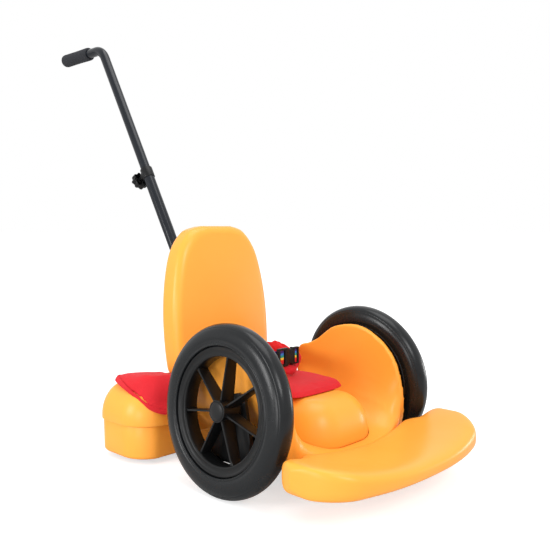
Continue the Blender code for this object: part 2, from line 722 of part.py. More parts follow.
def tub_mesh():
    """Rows run from the middle of the floor up to the guard's edge; columns follow the edge."""
    edge = spline_points(GUARD_EDGE, 2)
    across = 6
    bm = bmesh.new()
    columns = []
    for k, (edge_y, edge_z) in enumerate(edge):
        share = k / (len(edge) - 1)
        lift = max(edge_z - TUB_FLOOR, 0.0)
        edge_x = guard_x(edge_z) - TUB_WALL
        floor_y = TUB_FRONT + (TUB_REAR - 0.008 - TUB_FRONT) * smooth_step(share)
        start = Vector((0.0, floor_y, TUB_FLOOR))
        first = Vector((edge_x * 0.72, floor_y + (edge_y - floor_y) * 0.30, TUB_FLOOR))
        second = Vector((guard_x(TUB_FLOOR + lift * 0.35) - TUB_WALL,
                         floor_y + (edge_y - floor_y) * 0.85, TUB_FLOOR + lift * 0.22))
        end = Vector((edge_x, edge_y, edge_z))
        column = []
        for i in range(across + 1):
            t = i / across
            s = 1 - t
            column.append(start * s ** 3 + first * 3 * s * s * t + second * 3 * s * t * t + end * t ** 3)
        columns.append(column)
    verts = [[bm.verts.new(point) for point in column] for column in columns]
    mirrored = [[column[0]] + [bm.verts.new((-v.co.x, v.co.y, v.co.z)) for v in column[1:]]
                for column in verts]
    for grid in (verts, mirrored):
        for a, b in zip(grid, grid[1:]):
            for i in range(across):
                bm.faces.new((a[i], b[i], b[i + 1], a[i + 1]))
    bmesh.ops.recalc_face_normals(bm, faces=bm.faces)
    bm.normal_update()
    if sum(face.normal.z for face in bm.faces) < 0:
        bmesh.ops.reverse_faces(bm, faces=bm.faces)
    mesh = bpy.data.meshes.new("side_guard_tub")
    bm.to_mesh(mesh)
    bm.free()
    mesh.shade_smooth()
    return mesh


tub = place("side_guard_tub", tub_mesh(), ORANGE, frame)
solidify(tub, TUB_WALL)
body_envelope = shell_grid("body_envelope", dome_rings(GAP), True)
combine(tub, tool("body_envelope", body_envelope, frame), "DIFFERENCE")


# Footrest: a crescent in front of the tub, rounded all over, its ends raised beside the wheels
def foot_edges(across):
    """Front and rear edge of the footrest at a distance from the middle."""
    share = abs(across) / FOOT_HALF_WIDTH
    front = FOOT_FRONT + FOOT_SWEEP * share ** 2.6
    wing = min(abs(across) / (guard_x(TUB_FLOOR) - TUB_WALL), 1.0)
    inner = TUB_FRONT - FOOT_TUB_GAP + wing * (FOOT_REAR_SWEEP + FOOT_REAR_BOW * wing)
    step = smooth_step((abs(across) - FOOT_HALF_WIDTH * 0.62) / (FOOT_HALF_WIDTH * 0.14))
    rear = inner + (FOOT_END_REAR - inner) * step
    return front, rear


def corner_cut(radius, across):
    """How far a round end corner takes an edge back at a distance from the middle."""
    into_corner = max(radius - (FOOT_HALF_WIDTH - abs(across)), 0.0)
    return radius - math.sqrt(radius ** 2 - into_corner ** 2)


def footrest_rings():
    """Rounded sections at right angles to X, closing in towards both ends."""
    rings = []
    count = 20
    for k in range(count + 1):
        angle = math.pi * (k / count - 0.5)
        share = math.sin(angle)
        across = FOOT_HALF_WIDTH * share
        full_front, full_rear = foot_edges(across)
        front = full_front + corner_cut(FOOT_FRONT_CORNER, across)
        rear = full_rear - corner_cut(FOOT_REAR_CORNER, across)
        middle = (front + rear) / 2
        half = (rear - front) / 2
        closing = (rear - front) / (full_rear - full_front)
        top = FOOT_TOP + FOOT_END_RISE * share * share
        low = FOOT_BOTTOM
        centre = (top + low) / 2
        tall = (top - low) / 2 * (0.72 + 0.28 * closing)
        ring = []
        for i in range(14):
            turn = 2 * math.pi * i / 14
            power_y = 2 / 7.0
            power_z = 2 / 3.2
            ring.append(Vector((across,
                                middle + half * math.copysign(abs(math.cos(turn)) ** power_y,
                                                              math.cos(turn)),
                                centre + tall * math.copysign(abs(math.sin(turn)) ** power_z,
                                                              math.sin(turn)))))
        rings.append(ring)
    return rings


footrest = place("footrest", loft_mesh("footrest", footrest_rings()), ORANGE, frame)

# two tubes carry the footrest from under the tub
FOOT_TUBE_Z = PARTING_Z - 3 * GAP - TUB_WALL - GAP - FOOT_TUBE_RADIUS
tube_front = TUB_FRONT - FOOT_TUBE_IN_REST
tube_rear = TUB_FRONT + FOOT_TUBE_UNDER_TUB
for side, sign in SIDES.items():
    across = sign * FOOT_TUBE_SPACING / 2
    turn = (-math.pi / 2, 0, 0)
    length = tube_rear - tube_front
    place("footrest_tube_" + side, rod_mesh("footrest_tube", FOOT_TUBE_RADIUS, 0, length, 16),
          BLACK_PAINT, frame, (across, tube_front, FOOT_TUBE_Z), turn)
    socket = rod_mesh("footrest_socket", FOOT_TUBE_RADIUS + GAP, -GAP, length, 16)
    combine(footrest, tool("footrest_socket_" + side, socket, frame,
                           (across, tube_front, FOOT_TUBE_Z), turn), "DIFFERENCE")


# Chassis plate under the tub, which carries the front castors
DECK_Z = PARTING_Z - 3 * GAP - TUB_WALL - GAP
plate_low = (-PLATE_HALF_WIDTH, tube_rear + 2 * GAP, DECK_Z - PLATE_THICKNESS)
plate_high = (PLATE_HALF_WIDTH, PLATE_REAR, DECK_Z)
chassis = place("chassis_plate", box_mesh("chassis_plate", plate_low, plate_high), BLACK_PAINT, frame)


# Castors: a fixed base, a swivelling fork on a kingpin, and a wheel on its own axle
def castor_base_mesh(mount_z):
    """Square top plate with a round cup that the kingpin turns in."""
    half = CASTOR_BASE_HALF
    return box_mesh("castor_base", (-half, -half, mount_z - CASTOR_BASE_THICKNESS),
                    (half, half, mount_z), 0.001, 1)


def fork_mesh_crown(top):
    """Crown disc and the kingpin over it."""
    under = top - FORK_CROWN_THICKNESS
    profile = [(0, under), (FORK_CROWN_RADIUS, under), (FORK_CROWN_RADIUS, top),
               (KINGPIN_RADIUS, top), (KINGPIN_RADIUS, top + CASTOR_BASE_THICKNESS - GAP),
               (0, top + CASTOR_BASE_THICKNESS - GAP)]
    return turned_mesh("fork_crown", profile, 10)


def fork_cheek_mesh(top):
    """One cheek of the fork: from under the crown down round the axle."""
    eye = CASTOR_AXLE_RADIUS + 0.0035
    outline = []
    for i in range(5):
        angle = math.pi + math.pi * i / 4
        outline.append((CASTOR_TRAIL + eye * math.cos(angle), CASTOR_RADIUS + eye * math.sin(angle)))
    reach = FORK_CROWN_RADIUS * 0.80
    under = top - FORK_CROWN_THICKNESS / 2
    outline += [(reach, under), (-reach, under)]
    return plate_mesh("fork_cheek", outline, FORK_PLATE)


def castor_wheel_profile():
    """Closed section of a castor wheel with a crowned tread."""
    half = CASTOR_WIDTH / 2
    bore = CASTOR_AXLE_RADIUS + GAP
    return [(bore, -half), (CASTOR_RADIUS * 0.90, -half), (CASTOR_RADIUS, -half * 0.45),
            (CASTOR_RADIUS, half * 0.45), (CASTOR_RADIUS * 0.90, half), (bore, half)]


CASTOR_WHEEL_MESH = turned_mesh("castor_wheel", castor_wheel_profile(), 18)
CHEEK_INNER = CASTOR_WIDTH / 2 + FORK_SIDE_GAP
CASTOR_AXLE_MESH = rod_mesh("castor_axle", CASTOR_AXLE_RADIUS, -CHEEK_INNER - FORK_PLATE - 0.001,
                            CHEEK_INNER + FORK_PLATE + 0.001, 8)


def castor(name, across, along, mount_z):
    """One swivel castor under a mounting face."""
    swivel = empty("swivel_axis_" + name, (across, along, 0), frame)
    axle = empty("castor_axle_axis_" + name, (0, CASTOR_TRAIL, CASTOR_RADIUS), swivel)
    crown_top = mount_z - CASTOR_BASE_THICKNESS - RUNNING_GAP
    base = place("castor_base_" + name, castor_base_mesh(mount_z), BRIGHT_STEEL, swivel)
    hole = rod_mesh("kingpin_hole", KINGPIN_RADIUS + GAP, crown_top, mount_z + 0.002, 12)
    combine(base, tool("kingpin_hole_" + name, hole, swivel), "DIFFERENCE")
    fork = place("castor_fork_" + name, fork_mesh_crown(crown_top), BLACK_NYLON, swivel)
    cheek = fork_cheek_mesh(crown_top)
    for end, sign in SIDES.items():
        offset = sign * (CHEEK_INNER + FORK_PLATE / 2)
        combine(fork, tool(f"cheek_{name}_{end}", cheek, swivel, (offset, 0, 0),
                           (math.pi / 2, 0, math.pi / 2)), "UNION")
    sideways = (0, math.pi / 2, 0)
    eye = rod_mesh("axle_eye", CASTOR_AXLE_RADIUS + GAP, -CASTOR_WIDTH, CASTOR_WIDTH, 8)
    combine(fork, tool("axle_eye_" + name, eye, axle, rotation=sideways), "DIFFERENCE")
    place("castor_wheel_" + name, CASTOR_WHEEL_MESH, GREY_TREAD, axle, rotation=sideways)
    place("castor_axle_" + name, CASTOR_AXLE_MESH, BRIGHT_STEEL, axle, rotation=sideways)


PLATE_UNDER = DECK_Z - PLATE_THICKNESS - GAP
LOWER_DECK_UNDER = REAR_PARTING_Z - GAP - LOWER_DECK - GAP
for side, sign in SIDES.items():
    castor("front_" + side, sign * FRONT_CASTOR_X, FRONT_CASTOR_Y, PLATE_UNDER)
    castor("rear_" + side, sign * REAR_CASTOR_X, REAR_CASTOR_Y, LOWER_DECK_UNDER)


# Axle brackets: an upright plate beside the guard with a boss for the axle and a bolted foot
def bracket_outline(sign):
    """Plate outline in the wheel's own plane: round over the axle, broad at the foot."""
    foot = PLATE_UNDER - BRACKET_FOOT - AXLE_Z
    middle = BRACKET_TOP - BRACKET_TOP_RADIUS
    points = []
    for i in range(7):
        angle = math.pi * i / 6
        points.append((BRACKET_TOP_RADIUS * math.cos(angle), middle + BRACKET_TOP_RADIUS * math.sin(angle)))
    points += [(-BRACKET_FORWARD, foot / 2), (-BRACKET_FORWARD, foot), (BRACKET_REARWARD, foot),
               (BRACKET_REARWARD, foot + BRACKET_REAR_EDGE)]
    return [(x * sign, y) for x, y in points]


def bolt_mesh(held, segments=8):
    """Button head over a plain shank that goes through a held thickness, its seat at z = 0."""
    tip = -held - BOLT_GRIP
    return turned_mesh("bolt", [(0, tip), (BOLT_RADIUS, tip), (BOLT_RADIUS, GAP),
                                (BOLT_HEAD_RADIUS, GAP),
                                (BOLT_HEAD_RADIUS, GAP + BOLT_HEAD_HEIGHT * 0.5),
                                (BOLT_HEAD_RADIUS * 0.6, GAP + BOLT_HEAD_HEIGHT),
                                (0, GAP + BOLT_HEAD_HEIGHT)], segments)


BRACKET_BOLT = bolt_mesh(BRACKET_FOOT + GAP)
BOLT_HOLE = rod_mesh("bolt_hole", BOLT_RADIUS + GAP, -0.020, 0.010, 8)
for side, sign in SIDES.items():
    hub_frame = bpy.data.objects["wheel_axis_" + side]
    plate_middle = PLATE_FACE + GAP + BRACKET_THICKNESS / 2
    bracket = place("axle_bracket_" + side,
                    plate_mesh("axle_bracket", bracket_outline(sign), BRACKET_THICKNESS),
                    BLACK_NYLON, hub_frame, (0, 0, plate_middle))
    foot_out = WHEEL_TRACK / 2 + PLATE_FACE + BRACKET_THICKNESS * 1.5
    low_x, high_x = sorted((sign * BRACKET_FOOT_IN, sign * foot_out))
    foot = box_mesh("bracket_foot", (low_x, -BRACKET_FOOT_FRONT, PLATE_UNDER - BRACKET_FOOT),
                    (high_x, BRACKET_FOOT_REAR, PLATE_UNDER))
    combine(bracket, tool("bracket_foot_" + side, foot, frame), "UNION")
    boss = rod_mesh("axle_boss", BRACKET_BOSS_RADIUS, PLATE_FACE + GAP + 0.001, BOSS_END, 16)
    combine(bracket, tool("axle_boss_" + side, boss, hub_frame), "UNION")
    bore = rod_mesh("boss_bore", AXLE_RADIUS + GAP, AXLE_IN - GAP, BOSS_END + 0.01, 12)
    combine(bracket, tool("boss_bore_" + side, bore, hub_frame), "DIFFERENCE")
    for number, along in enumerate((-BRACKET_BOLT_FRONT, BRACKET_BOLT_REAR)):
        spot = (sign * (BRACKET_FOOT_IN + BRACKET_BOLT_IN), along, PLATE_UNDER - BRACKET_FOOT)
        turn = (math.pi, 0, 0)
        cutter = tool(f"bolt_hole_{side}_{number}", BOLT_HOLE, frame, spot, turn)
        combine(bracket, cutter, "DIFFERENCE")
        combine(chassis, cutter, "DIFFERENCE")
        place(f"bracket_bolt_{side}_{number + 1}", BRACKET_BOLT, BRIGHT_STEEL, frame, spot, turn)


# Backrest: a thick rounded shield that narrows upward, on its own leaning frame
back = empty("backrest_frame", (0, BACK_Y, BACK_BOTTOM), frame, (-BACK_LEAN, 0, 0))
BACK_LENGTH = (BACK_TOP - BACK_BOTTOM) / math.cos(BACK_LEAN)


def back_outline(inset):
    """Outline seen from the front: nearly upright sides, then one long taper to a blunt top."""
    knots = [(0.930, 0.0), (0.972, 0.035), (1.0, 0.200), (0.995, 0.400), (0.945, 0.600),
             (0.850, 0.780), (0.725, 0.890), (0.540, 0.970), (0.310, 1.0)]
    right = spline_points([(BACK_HALF_WIDTH * x, BACK_LENGTH * y) for x, y in knots], 2)
    points = []
    for across, up in right:
        share = up / BACK_LENGTH
        points.append((across - inset, up + inset * (1 - 2 * smooth_step(share))))
    return points + [(-x, y) for x, y in reversed(points)]


def backrest_mesh():
    """Loft through its thickness, edges rounded front and back."""
    rings = []
    half = BACK_THICKNESS / 2
    steps = [(1.0, -half), (0.30, -half + BACK_EDGE_ROUND * 0.30), (0.0, -half + BACK_EDGE_ROUND),
             (0.0, half - BACK_EDGE_ROUND), (0.30, half - BACK_EDGE_ROUND * 0.30), (1.0, half)]
    for share, depth in steps:
        rings.append([Vector((x, depth, y)) for x, y in back_outline(BACK_EDGE_ROUND * share)])
    return loft_mesh("backrest", rings)


backrest = place("backrest", backrest_mesh(), ORANGE, back)


# Push handle: a bent lower pole in its socket, a telescoping upper tube and a foam grip
def pole_route(low, high):
    """Upright foot, one bend, then the leaning run."""
    corner = Vector((0, POLE_Y, POLE_BEND_Z))
    lean = Vector((0, math.sin(HANDLE_LEAN), math.cos(HANDLE_LEAN)))
    end = corner + lean * ((high - POLE_BEND_Z) / math.cos(HANDLE_LEAN))
    bend = arc_points(corner, (0, 0, -1), lean, POLE_BEND_RADIUS, 5)
    return [Vector((0, POLE_Y, low))] + bend + [end]


SOCKET_FLOOR = REAR_PARTING_Z
pole = place("lower_pole", rail_mesh("lower_pole", pole_route(SOCKET_FLOOR + GAP, POLE_TOP_Z), POLE_RADIUS, 5),
             BLACK_PAINT, frame)
bore_route = pole_route(SOCKET_FLOOR - 0.01, POLE_TOP_Z + 0.02)
combine(pole, tool("pole_bore", rail_mesh("pole_bore", bore_route, POLE_RADIUS - POLE_WALL, 5), frame),
        "DIFFERENCE")

socket_outer = POLE_RADIUS + GAP + SOCKET_WALL
socket_profile = [(POLE_RADIUS + GAP, 0), (socket_outer + 0.010, 0), (socket_outer + 0.010, 0.004),
                  (socket_outer, 0.006), (socket_outer, SOCKET_HEIGHT), (POLE_RADIUS + GAP, SOCKET_HEIGHT)]
place("pole_socket", turned_mesh("pole_socket", socket_profile, 16), BLACK_NYLON, frame,
      (0, POLE_Y, SOCKET_FLOOR))
grommet_profile = [(POLE_RADIUS + GAP, 0), (POLE_RADIUS + GROMMET_WIDTH, 0),
                   (POLE_RADIUS + GROMMET_WIDTH, GROMMET_HEIGHT * 0.5),
                   (POLE_RADIUS + GROMMET_WIDTH * 0.5, GROMMET_HEIGHT), (POLE_RADIUS + GAP, GROMMET_HEIGHT)]
place("pole_grommet", turned_mesh("pole_grommet", grommet_profile, 16), BLACK_NYLON, frame,
      (0, POLE_Y, BODY_TOP + GAP))

# the clamp's frame stands on the pole's top end: Z along the pole, Y to the rear and down
lean_run = (POLE_TOP_Z - POLE_BEND_Z) / math.cos(HANDLE_LEAN)
clamp = empty("handle_slide_axis", (0, pole_axis_y(POLE_TOP_Z), POLE_TOP_Z), frame, (-HANDLE_LEAN, 0, 0))
UPPER_RADIUS = POLE_RADIUS - POLE_WALL - UPPER_TUBE_GAP
collar_outer = POLE_RADIUS + GAP + COLLAR_WALL
collar_profile = [(0, -COLLAR_LENGTH), (collar_outer - 0.0008, -COLLAR_LENGTH),
                  (collar_outer, -COLLAR_LENGTH + 0.001), (collar_outer, COLLAR_LIP - 0.001),
                  (collar_outer - 0.001, COLLAR_LIP), (0, COLLAR_LIP)]
collar = place("clamp_collar", turned_mesh("clamp_collar", collar_profile, 20), BLACK_NYLON, clamp)
knob_axis = empty("knob_axis", (0, 0, -KNOB_DROP), clamp, (-math.pi / 2, 0, 0))
boss_end = collar_outer + COLLAR_BOSS_REACH
boss = rod_mesh("collar_boss", COLLAR_BOSS_RADIUS, POLE_RADIUS / 2, boss_end, 16)
combine(collar, tool("collar_boss", boss, knob_axis), "UNION")
lip_bore = UPPER_RADIUS + RUNNING_GAP
bore_profile = [(0, -COLLAR_LENGTH - 0.001), (POLE_RADIUS + GAP, -COLLAR_LENGTH - 0.001),
                (POLE_RADIUS + GAP, GAP), (lip_bore, GAP), (lip_bore, COLLAR_LIP + 0.001),
                (0, COLLAR_LIP + 0.001)]
combine(collar, tool("collar_bore", turned_mesh("collar_bore", bore_profile, 20), clamp), "DIFFERENCE")
stud_hole = rod_mesh("stud_hole", KNOB_STUD_RADIUS + GAP, UPPER_RADIUS * 0.5, boss_end + 0.01, 12)
stud_cut = tool("stud_hole", stud_hole, knob_axis)
combine(collar, stud_cut, "DIFFERENCE")
combine(pole, stud_cut, "DIFFERENCE")


def knob_mesh():
    """Lobed knob, hollow below, with a hub and a stud that reaches the upper tube."""
    base = boss_end + KNOB_STAND_OFF
    points = KNOB_LOBES * 4

    def lobed(radius, height):
        ring = []
        for i in range(points):
            angle = 2 * math.pi * i / points
            wave = radius - KNOB_FLUTE * (0.5 - 0.5 * math.cos(KNOB_LOBES * angle)) * radius / KNOB_RADIUS
            ring.append(Vector((wave * math.cos(angle), wave * math.sin(angle), height)))
        return ring

    shoulder = KNOB_HEIGHT * 0.78
    rings = [lobed(KNOB_RADIUS, base), lobed(KNOB_RADIUS, base + shoulder),
             lobed(KNOB_RADIUS * 0.80, base + KNOB_HEIGHT)]
    return loft_mesh("clamp_knob", rings)


knob = place("clamp_knob", knob_mesh(), BLACK_NYLON, knob_axis)
knob_base = boss_end + KNOB_STAND_OFF
hollow = tube_mesh("knob_hollow", KNOB_RADIUS - KNOB_FLUTE - KNOB_WALL, COLLAR_BOSS_RADIUS * 0.75,
                   knob_base - 0.01, knob_base + KNOB_HEIGHT - KNOB_WALL, 16)
combine(knob, tool("knob_hollow", hollow, knob_axis), "DIFFERENCE")
stud = rod_mesh("knob_stud", KNOB_STUD_RADIUS, UPPER_RADIUS + GAP, knob_base + KNOB_HEIGHT / 2, 12)
combine(knob, tool("knob_stud", stud, knob_axis), "UNION")

# upper tube: up the lean, round the top bend and back to the grip
lean_way = Vector((0, math.sin(HANDLE_LEAN), math.cos(HANDLE_LEAN)))
pole_top = Vector((0, pole_axis_y(POLE_TOP_Z), POLE_TOP_Z))
top_corner = Vector((0, pole_axis_y(GRIP_Z), GRIP_Z))
upper_bend = arc_points(top_corner, -lean_way, (0, 1, 0), UPPER_BEND_RADIUS, 6)
tube_end = top_corner + Vector((0, GRIP_START + GRIP_LENGTH - GRIP_END_CAP - GAP, 0))
upper_route = [pole_top - lean_way * UPPER_TUBE_INSERT] + upper_bend + [tube_end]
bore_route = [pole_top - lean_way * (UPPER_TUBE_INSERT + 0.01)] + upper_bend + [tube_end + Vector((0, 0.01, 0))]
upper_tube = place("upper_tube", rail_mesh("upper_tube", upper_route, UPPER_RADIUS, 5), BLACK_PAINT, frame)
upper_bore = rail_mesh("upper_bore", bore_route, UPPER_RADIUS - UPPER_TUBE_WALL, 5)
combine(upper_tube, tool("upper_bore", upper_bore, frame), "DIFFERENCE")

grip_bore = UPPER_RADIUS + GAP
grip_profile = [(grip_bore, 0), (GRIP_RADIUS - 0.003, 0), (GRIP_RADIUS, 0.003),
                (GRIP_RADIUS, GRIP_LENGTH - 0.004), (GRIP_RADIUS - 0.004, GRIP_LENGTH), (0, GRIP_LENGTH),
                (0, GRIP_LENGTH - GRIP_END_CAP), (grip_bore, GRIP_LENGTH - GRIP_END_CAP)]
place("handle_grip", turned_mesh("handle_grip", grip_profile, 20), BLACK_FOAM, frame,
      top_corner + Vector((0, GRIP_START, 0)), (-math.pi / 2, 0, 0))


# Backrest bracket: a plate screwed to the backrest and a block clamped round the pole's foot
rear_face = BACK_THICKNESS / 2 + GAP
bracket_plate = box_mesh("backrest_bracket", (-BACK_PLATE_HALF_WIDTH, rear_face, BACK_PLATE_LOW),
                         (BACK_PLATE_HALF_WIDTH, rear_face + BACK_PLATE_THICKNESS, BACK_PLATE_HIGH))
back_bracket = place("backrest_bracket", bracket_plate, BLACK_PAINT, back)
block_rear = (POLE_Y + POLE_RADIUS + BACK_BLOCK_WALL - BACK_Y) / math.cos(BACK_LEAN)
block = box_mesh("bracket_block", (-BACK_BLOCK_HALF_WIDTH, rear_face + BACK_PLATE_THICKNESS / 2, BACK_BLOCK_LOW),
                 (BACK_BLOCK_HALF_WIDTH, block_rear, BACK_BLOCK_HIGH))
combine(back_bracket, tool("bracket_block", block, back), "UNION")
pole_clearance = rod_mesh("pole_clearance", POLE_RADIUS + GAP, SOCKET_FLOOR, POLE_BEND_Z, 16)
combine(back_bracket, tool("pole_clearance", pole_clearance, frame, (0, POLE_Y, 0)), "DIFFERENCE")


# Seat pad: one cushion over the dome, drooping round the wheel wells, with ears beside the backrest
# hem points (x, y, height of the under side) and the points of the flat top beside them
PAD_RIM = [((0, -0.046, 0.1478), (0, -0.010)), ((0.040, -0.045, 0.1480), (0.030, -0.008)),
           ((0.065, -0.040, 0.1490), (0.045, -0.004)), ((0.077, -0.018, 0.1490), (0.050, 0.010)),
           ((0.083, 0.030, 0.1485), (0.053, 0.040)), ((0.088, 0.090, 0.1430), (0.056, 0.095)),
           ((0.100, 0.136, 0.1280), (0.066, 0.150)), ((0.130, 0.172, 0.1080), (0.096, 0.190)),
           ((0.165, 0.188, 0.0960), (0.135, 0.218)), ((0.192, 0.210, 0.1060), (0.158, 0.230)),
           ((0.204, 0.245, 0.1270), (0.170, 0.250)), ((0.205, 0.286, 0.1410), (0.172, 0.274)),
           ((0.195, 0.318, 0.1475), (0.168, 0.288)), ((0.172, 0.312, 0.1478), (0.156, 0.284)),
           ((0.145, 0.286, 0.1478), (0.138, 0.264)), ((0.120, 0.264, 0.1478), (0.112, 0.246)),
           ((0, 0.261, 0.1478), (0, 0.240))]
PAD_HEM = spline_points([hem for hem, inner in PAD_RIM], 2)
PAD_INNER = spline_points([inner for hem, inner in PAD_RIM], 2)


def pad_ring(share, lift, draw=0.0):
    """Ring of the pad between its flat top (share 0) and its hem (share 1)."""
    right = []
    for hem, inner in zip(PAD_HEM, PAD_INNER):
        reach = (hem.xy - inner).length
        place_at = inner.lerp(hem.xy, share - draw / reach)
        height = BODY_TOP + (hem.z - BODY_TOP) * share ** 2
        right.append(Vector((place_at.x, place_at.y, height + lift)))
    return right + [Vector((-p.x, p.y, p.z)) for p in reversed(right[1:-1])]


def pad_mesh():
    """Under side, drawn-in hem and crowned top; the under side is cut to the dome afterwards."""
    crown = PAD_TOP - BODY_TOP
    sunk = -0.003
    rings = [pad_ring(0.0, sunk), pad_ring(0.5, sunk), pad_ring(0.85, sunk * 0.5),
             pad_ring(1.0, 0.0, PAD_DRAW), pad_ring(1.0, PAD_EDGE * 0.35), pad_ring(1.0, PAD_EDGE * 0.70),
             pad_ring(1.0, PAD_EDGE, PAD_DRAW), pad_ring(0.80, PAD_EDGE + (crown - PAD_EDGE) * 0.45),
             pad_ring(0.45, PAD_EDGE + (crown - PAD_EDGE) * 0.85), pad_ring(0.0, crown)]
    return loft_mesh("seat_pad", rings)


pad = place("seat_pad", pad_mesh(), RED_FABRIC, frame)
combine(pad, tool("pad_seat", body_envelope.copy(), frame), "DIFFERENCE")
pocket = box_mesh("backrest_pocket", (-BACK_HALF_WIDTH, -BACK_THICKNESS / 2 - GAP, -GAP),
                  (BACK_HALF_WIDTH, BACK_THICKNESS / 2 + GAP + 0.02, 0.04))
combine(pad, tool("backrest_pocket", pocket, back), "DIFFERENCE")


# Lap belt: two padded side parts and a front part round the lap, webbing outside, buckle in front
def belt_point(angle, outward=0.0):
    """Plan point of the belt at an angle from its left anchor, moved outward across the belt."""
    depth = BELT_ANCHOR_Y - BELT_FRONT_Y
    point = Vector((BELT_HALF_SPAN * math.cos(angle), BELT_ANCHOR_Y - depth * math.sin(angle)))
    normal = Vector((depth * math.cos(angle), -BELT_HALF_SPAN * math.sin(angle))).normalized()
    return point + normal * outward


def belt_low(angle):
    """Height of the belt's lower edge: on the pad at the anchors, raised in front."""
    return PAD_TOP + GAP + BELT_RISE * smooth_step(math.sin(angle))


def strap_mesh(name, spine, width, thickness, soft):
    """Upright strap along plan points with heights of its lower edge, edges rounded by soft."""
    rings = []
    for i, (point, low) in enumerate(spine):
        ahead = spine[min(i + 1, len(spine) - 1)][0]
        behind = spine[max(i - 1, 0)][0]
        way = (ahead - behind).normalized()
        side = Vector((way.y, -way.x))
        ring = []
        for out, up in ((-0.45, 0), (0.45, 0), (1, soft), (1, width - soft),
                        (0.45, width), (-0.45, width), (-1, width - soft), (-1, soft)):
            flat = point + side * out * thickness / 2
            ring.append(Vector((flat.x, flat.y, low + up)))
        rings.append(ring)
    return loft_mesh(name, rings)


def belt_spine(start, end, count):
    """Spine of a padded part between two angles."""
    angles = [start + (end - start) * i / count for i in range(count + 1)]
    return [(belt_point(angle), belt_low(angle)) for angle in angles]


BUCKLE_Y = BELT_FRONT_Y - BELT_THICKNESS / 2 - GAP - BUCKLE_THICKNESS / 2
BUCKLE_Z = belt_low(math.pi / 2) + BELT_WIDTH / 2 + BUCKLE_LIFT
POCKET_DEPTH = 0.004
web_offset = (BELT_THICKNESS + WEBBING_THICKNESS) / 2 + GAP
web_drop = (BELT_WIDTH - WEBBING_WIDTH) / 2
web_spine = [(belt_point(math.radians(a), web_offset), belt_low(math.radians(a)) + web_drop)
             for a in range(30, 69, 6)]
web_low = BUCKLE_Z - WEBBING_WIDTH / 2
web_end = BUCKLE_LENGTH / 2 - POCKET_DEPTH + GAP
web_spine += [(Vector((web_end + 0.0065, BUCKLE_Y + 0.0012)), web_low),
              (Vector((web_end + 0.0035, BUCKLE_Y)), web_low), (Vector((web_end, BUCKLE_Y)), web_low)]
END_GAP = GAP / BELT_FRONT_Y
belt_side = strap_mesh("belt_strap", belt_spine(0, BELT_END, 9), BELT_WIDTH, BELT_THICKNESS, 0.003)
webbing_side = strap_mesh("belt_webbing", web_spine, WEBBING_WIDTH, WEBBING_THICKNESS, 0.0004)


def mirrored(mesh, name):
    """The mesh on the other side of the middle plane."""
    bm = bmesh.new()
    bm.from_mesh(mesh)
    bmesh.ops.scale(bm, vec=(-1, 1, 1), verts=bm.verts)
    return mesh_of(bm, name)


place("belt_strap_left", belt_side, RED_FABRIC, frame)
place("belt_strap_right", mirrored(belt_side, "belt_strap"), RED_FABRIC, frame)
place("belt_webbing_left", webbing_side, STRIPED_WEBBING, frame)
place("belt_webbing_right", mirrored(webbing_side, "belt_webbing"), STRIPED_WEBBING, frame)
front_part = strap_mesh("belt_pad", belt_spine(BELT_END + END_GAP, math.pi - BELT_END - END_GAP, 8),
                        BELT_WIDTH, BELT_THICKNESS, 0.003)
place("belt_pad", front_part, RED_FABRIC, frame)

# side-release buckle: a hollow socket with two windows and a prong half with two arms
buckle = empty("buckle_frame", (0, BUCKLE_Y, BUCKLE_Z), frame)
end_x = BUCKLE_LENGTH / 2
split_x = end_x - BUCKLE_LENGTH * BUCKLE_SPLIT
half_y = BUCKLE_THICKNESS / 2
half_z = BUCKLE_HEIGHT / 2
socket_half = place("buckle_socket", box_mesh("buckle_socket", (-end_x, -half_y, -half_z),
                                              (split_x - GAP, half_y, half_z), 0.0025, 2), BLACK_NYLON, buckle)
prong_half = place("buckle_prongs", box_mesh("buckle_prongs", (split_x, -half_y, -half_z * 0.94),
                                             (end_x, half_y, half_z * 0.94), 0.0025, 2), BLACK_NYLON, buckle)
core = 0.0032
cavity = box_mesh("socket_cavity", (-0.012, -core - GAP, -half_z * 0.66), (split_x + 0.004, core + GAP, half_z * 0.66))
window = box_mesh("socket_window", (-0.009, -core - GAP, -half_z - 0.003), (0.001, core + GAP, half_z + 0.003))
tongue = box_mesh("prong_tongue", (-0.0115, -core, -half_z * 0.66 + GAP), (split_x + 0.004, core, half_z * 0.66 - GAP))
arms = box_mesh("prong_arms", (-0.0085, -core, -half_z + 0.0006), (0.0005, core, half_z - 0.0006))
combine(socket_half, tool("socket_cavity", cavity, buckle), "DIFFERENCE")
combine(socket_half, tool("socket_window", window, buckle), "DIFFERENCE")
combine(prong_half, tool("prong_tongue", tongue, buckle), "UNION")
combine(prong_half, tool("prong_arms", arms, buckle), "UNION")
for target, sign in ((prong_half, 1), (socket_half, -1)):
    low_x, high_x = sorted((sign * (end_x - POCKET_DEPTH), sign * (end_x + 0.002)))
    web_slot = box_mesh("webbing_slot", (low_x, -WEBBING_THICKNESS / 2 - GAP, -WEBBING_WIDTH / 2 - GAP),
                        (high_x, WEBBING_THICKNESS / 2 + GAP, WEBBING_WIDTH / 2 + GAP))
    combine(target, tool(f"webbing_slot_{target.name}", web_slot, buckle), "DIFFERENCE")
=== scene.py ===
from math import copysign, cos, exp, pi, radians, sin, sqrt, tan

import bmesh
import bpy
import numpy as np
from mathutils import Matrix, Vector


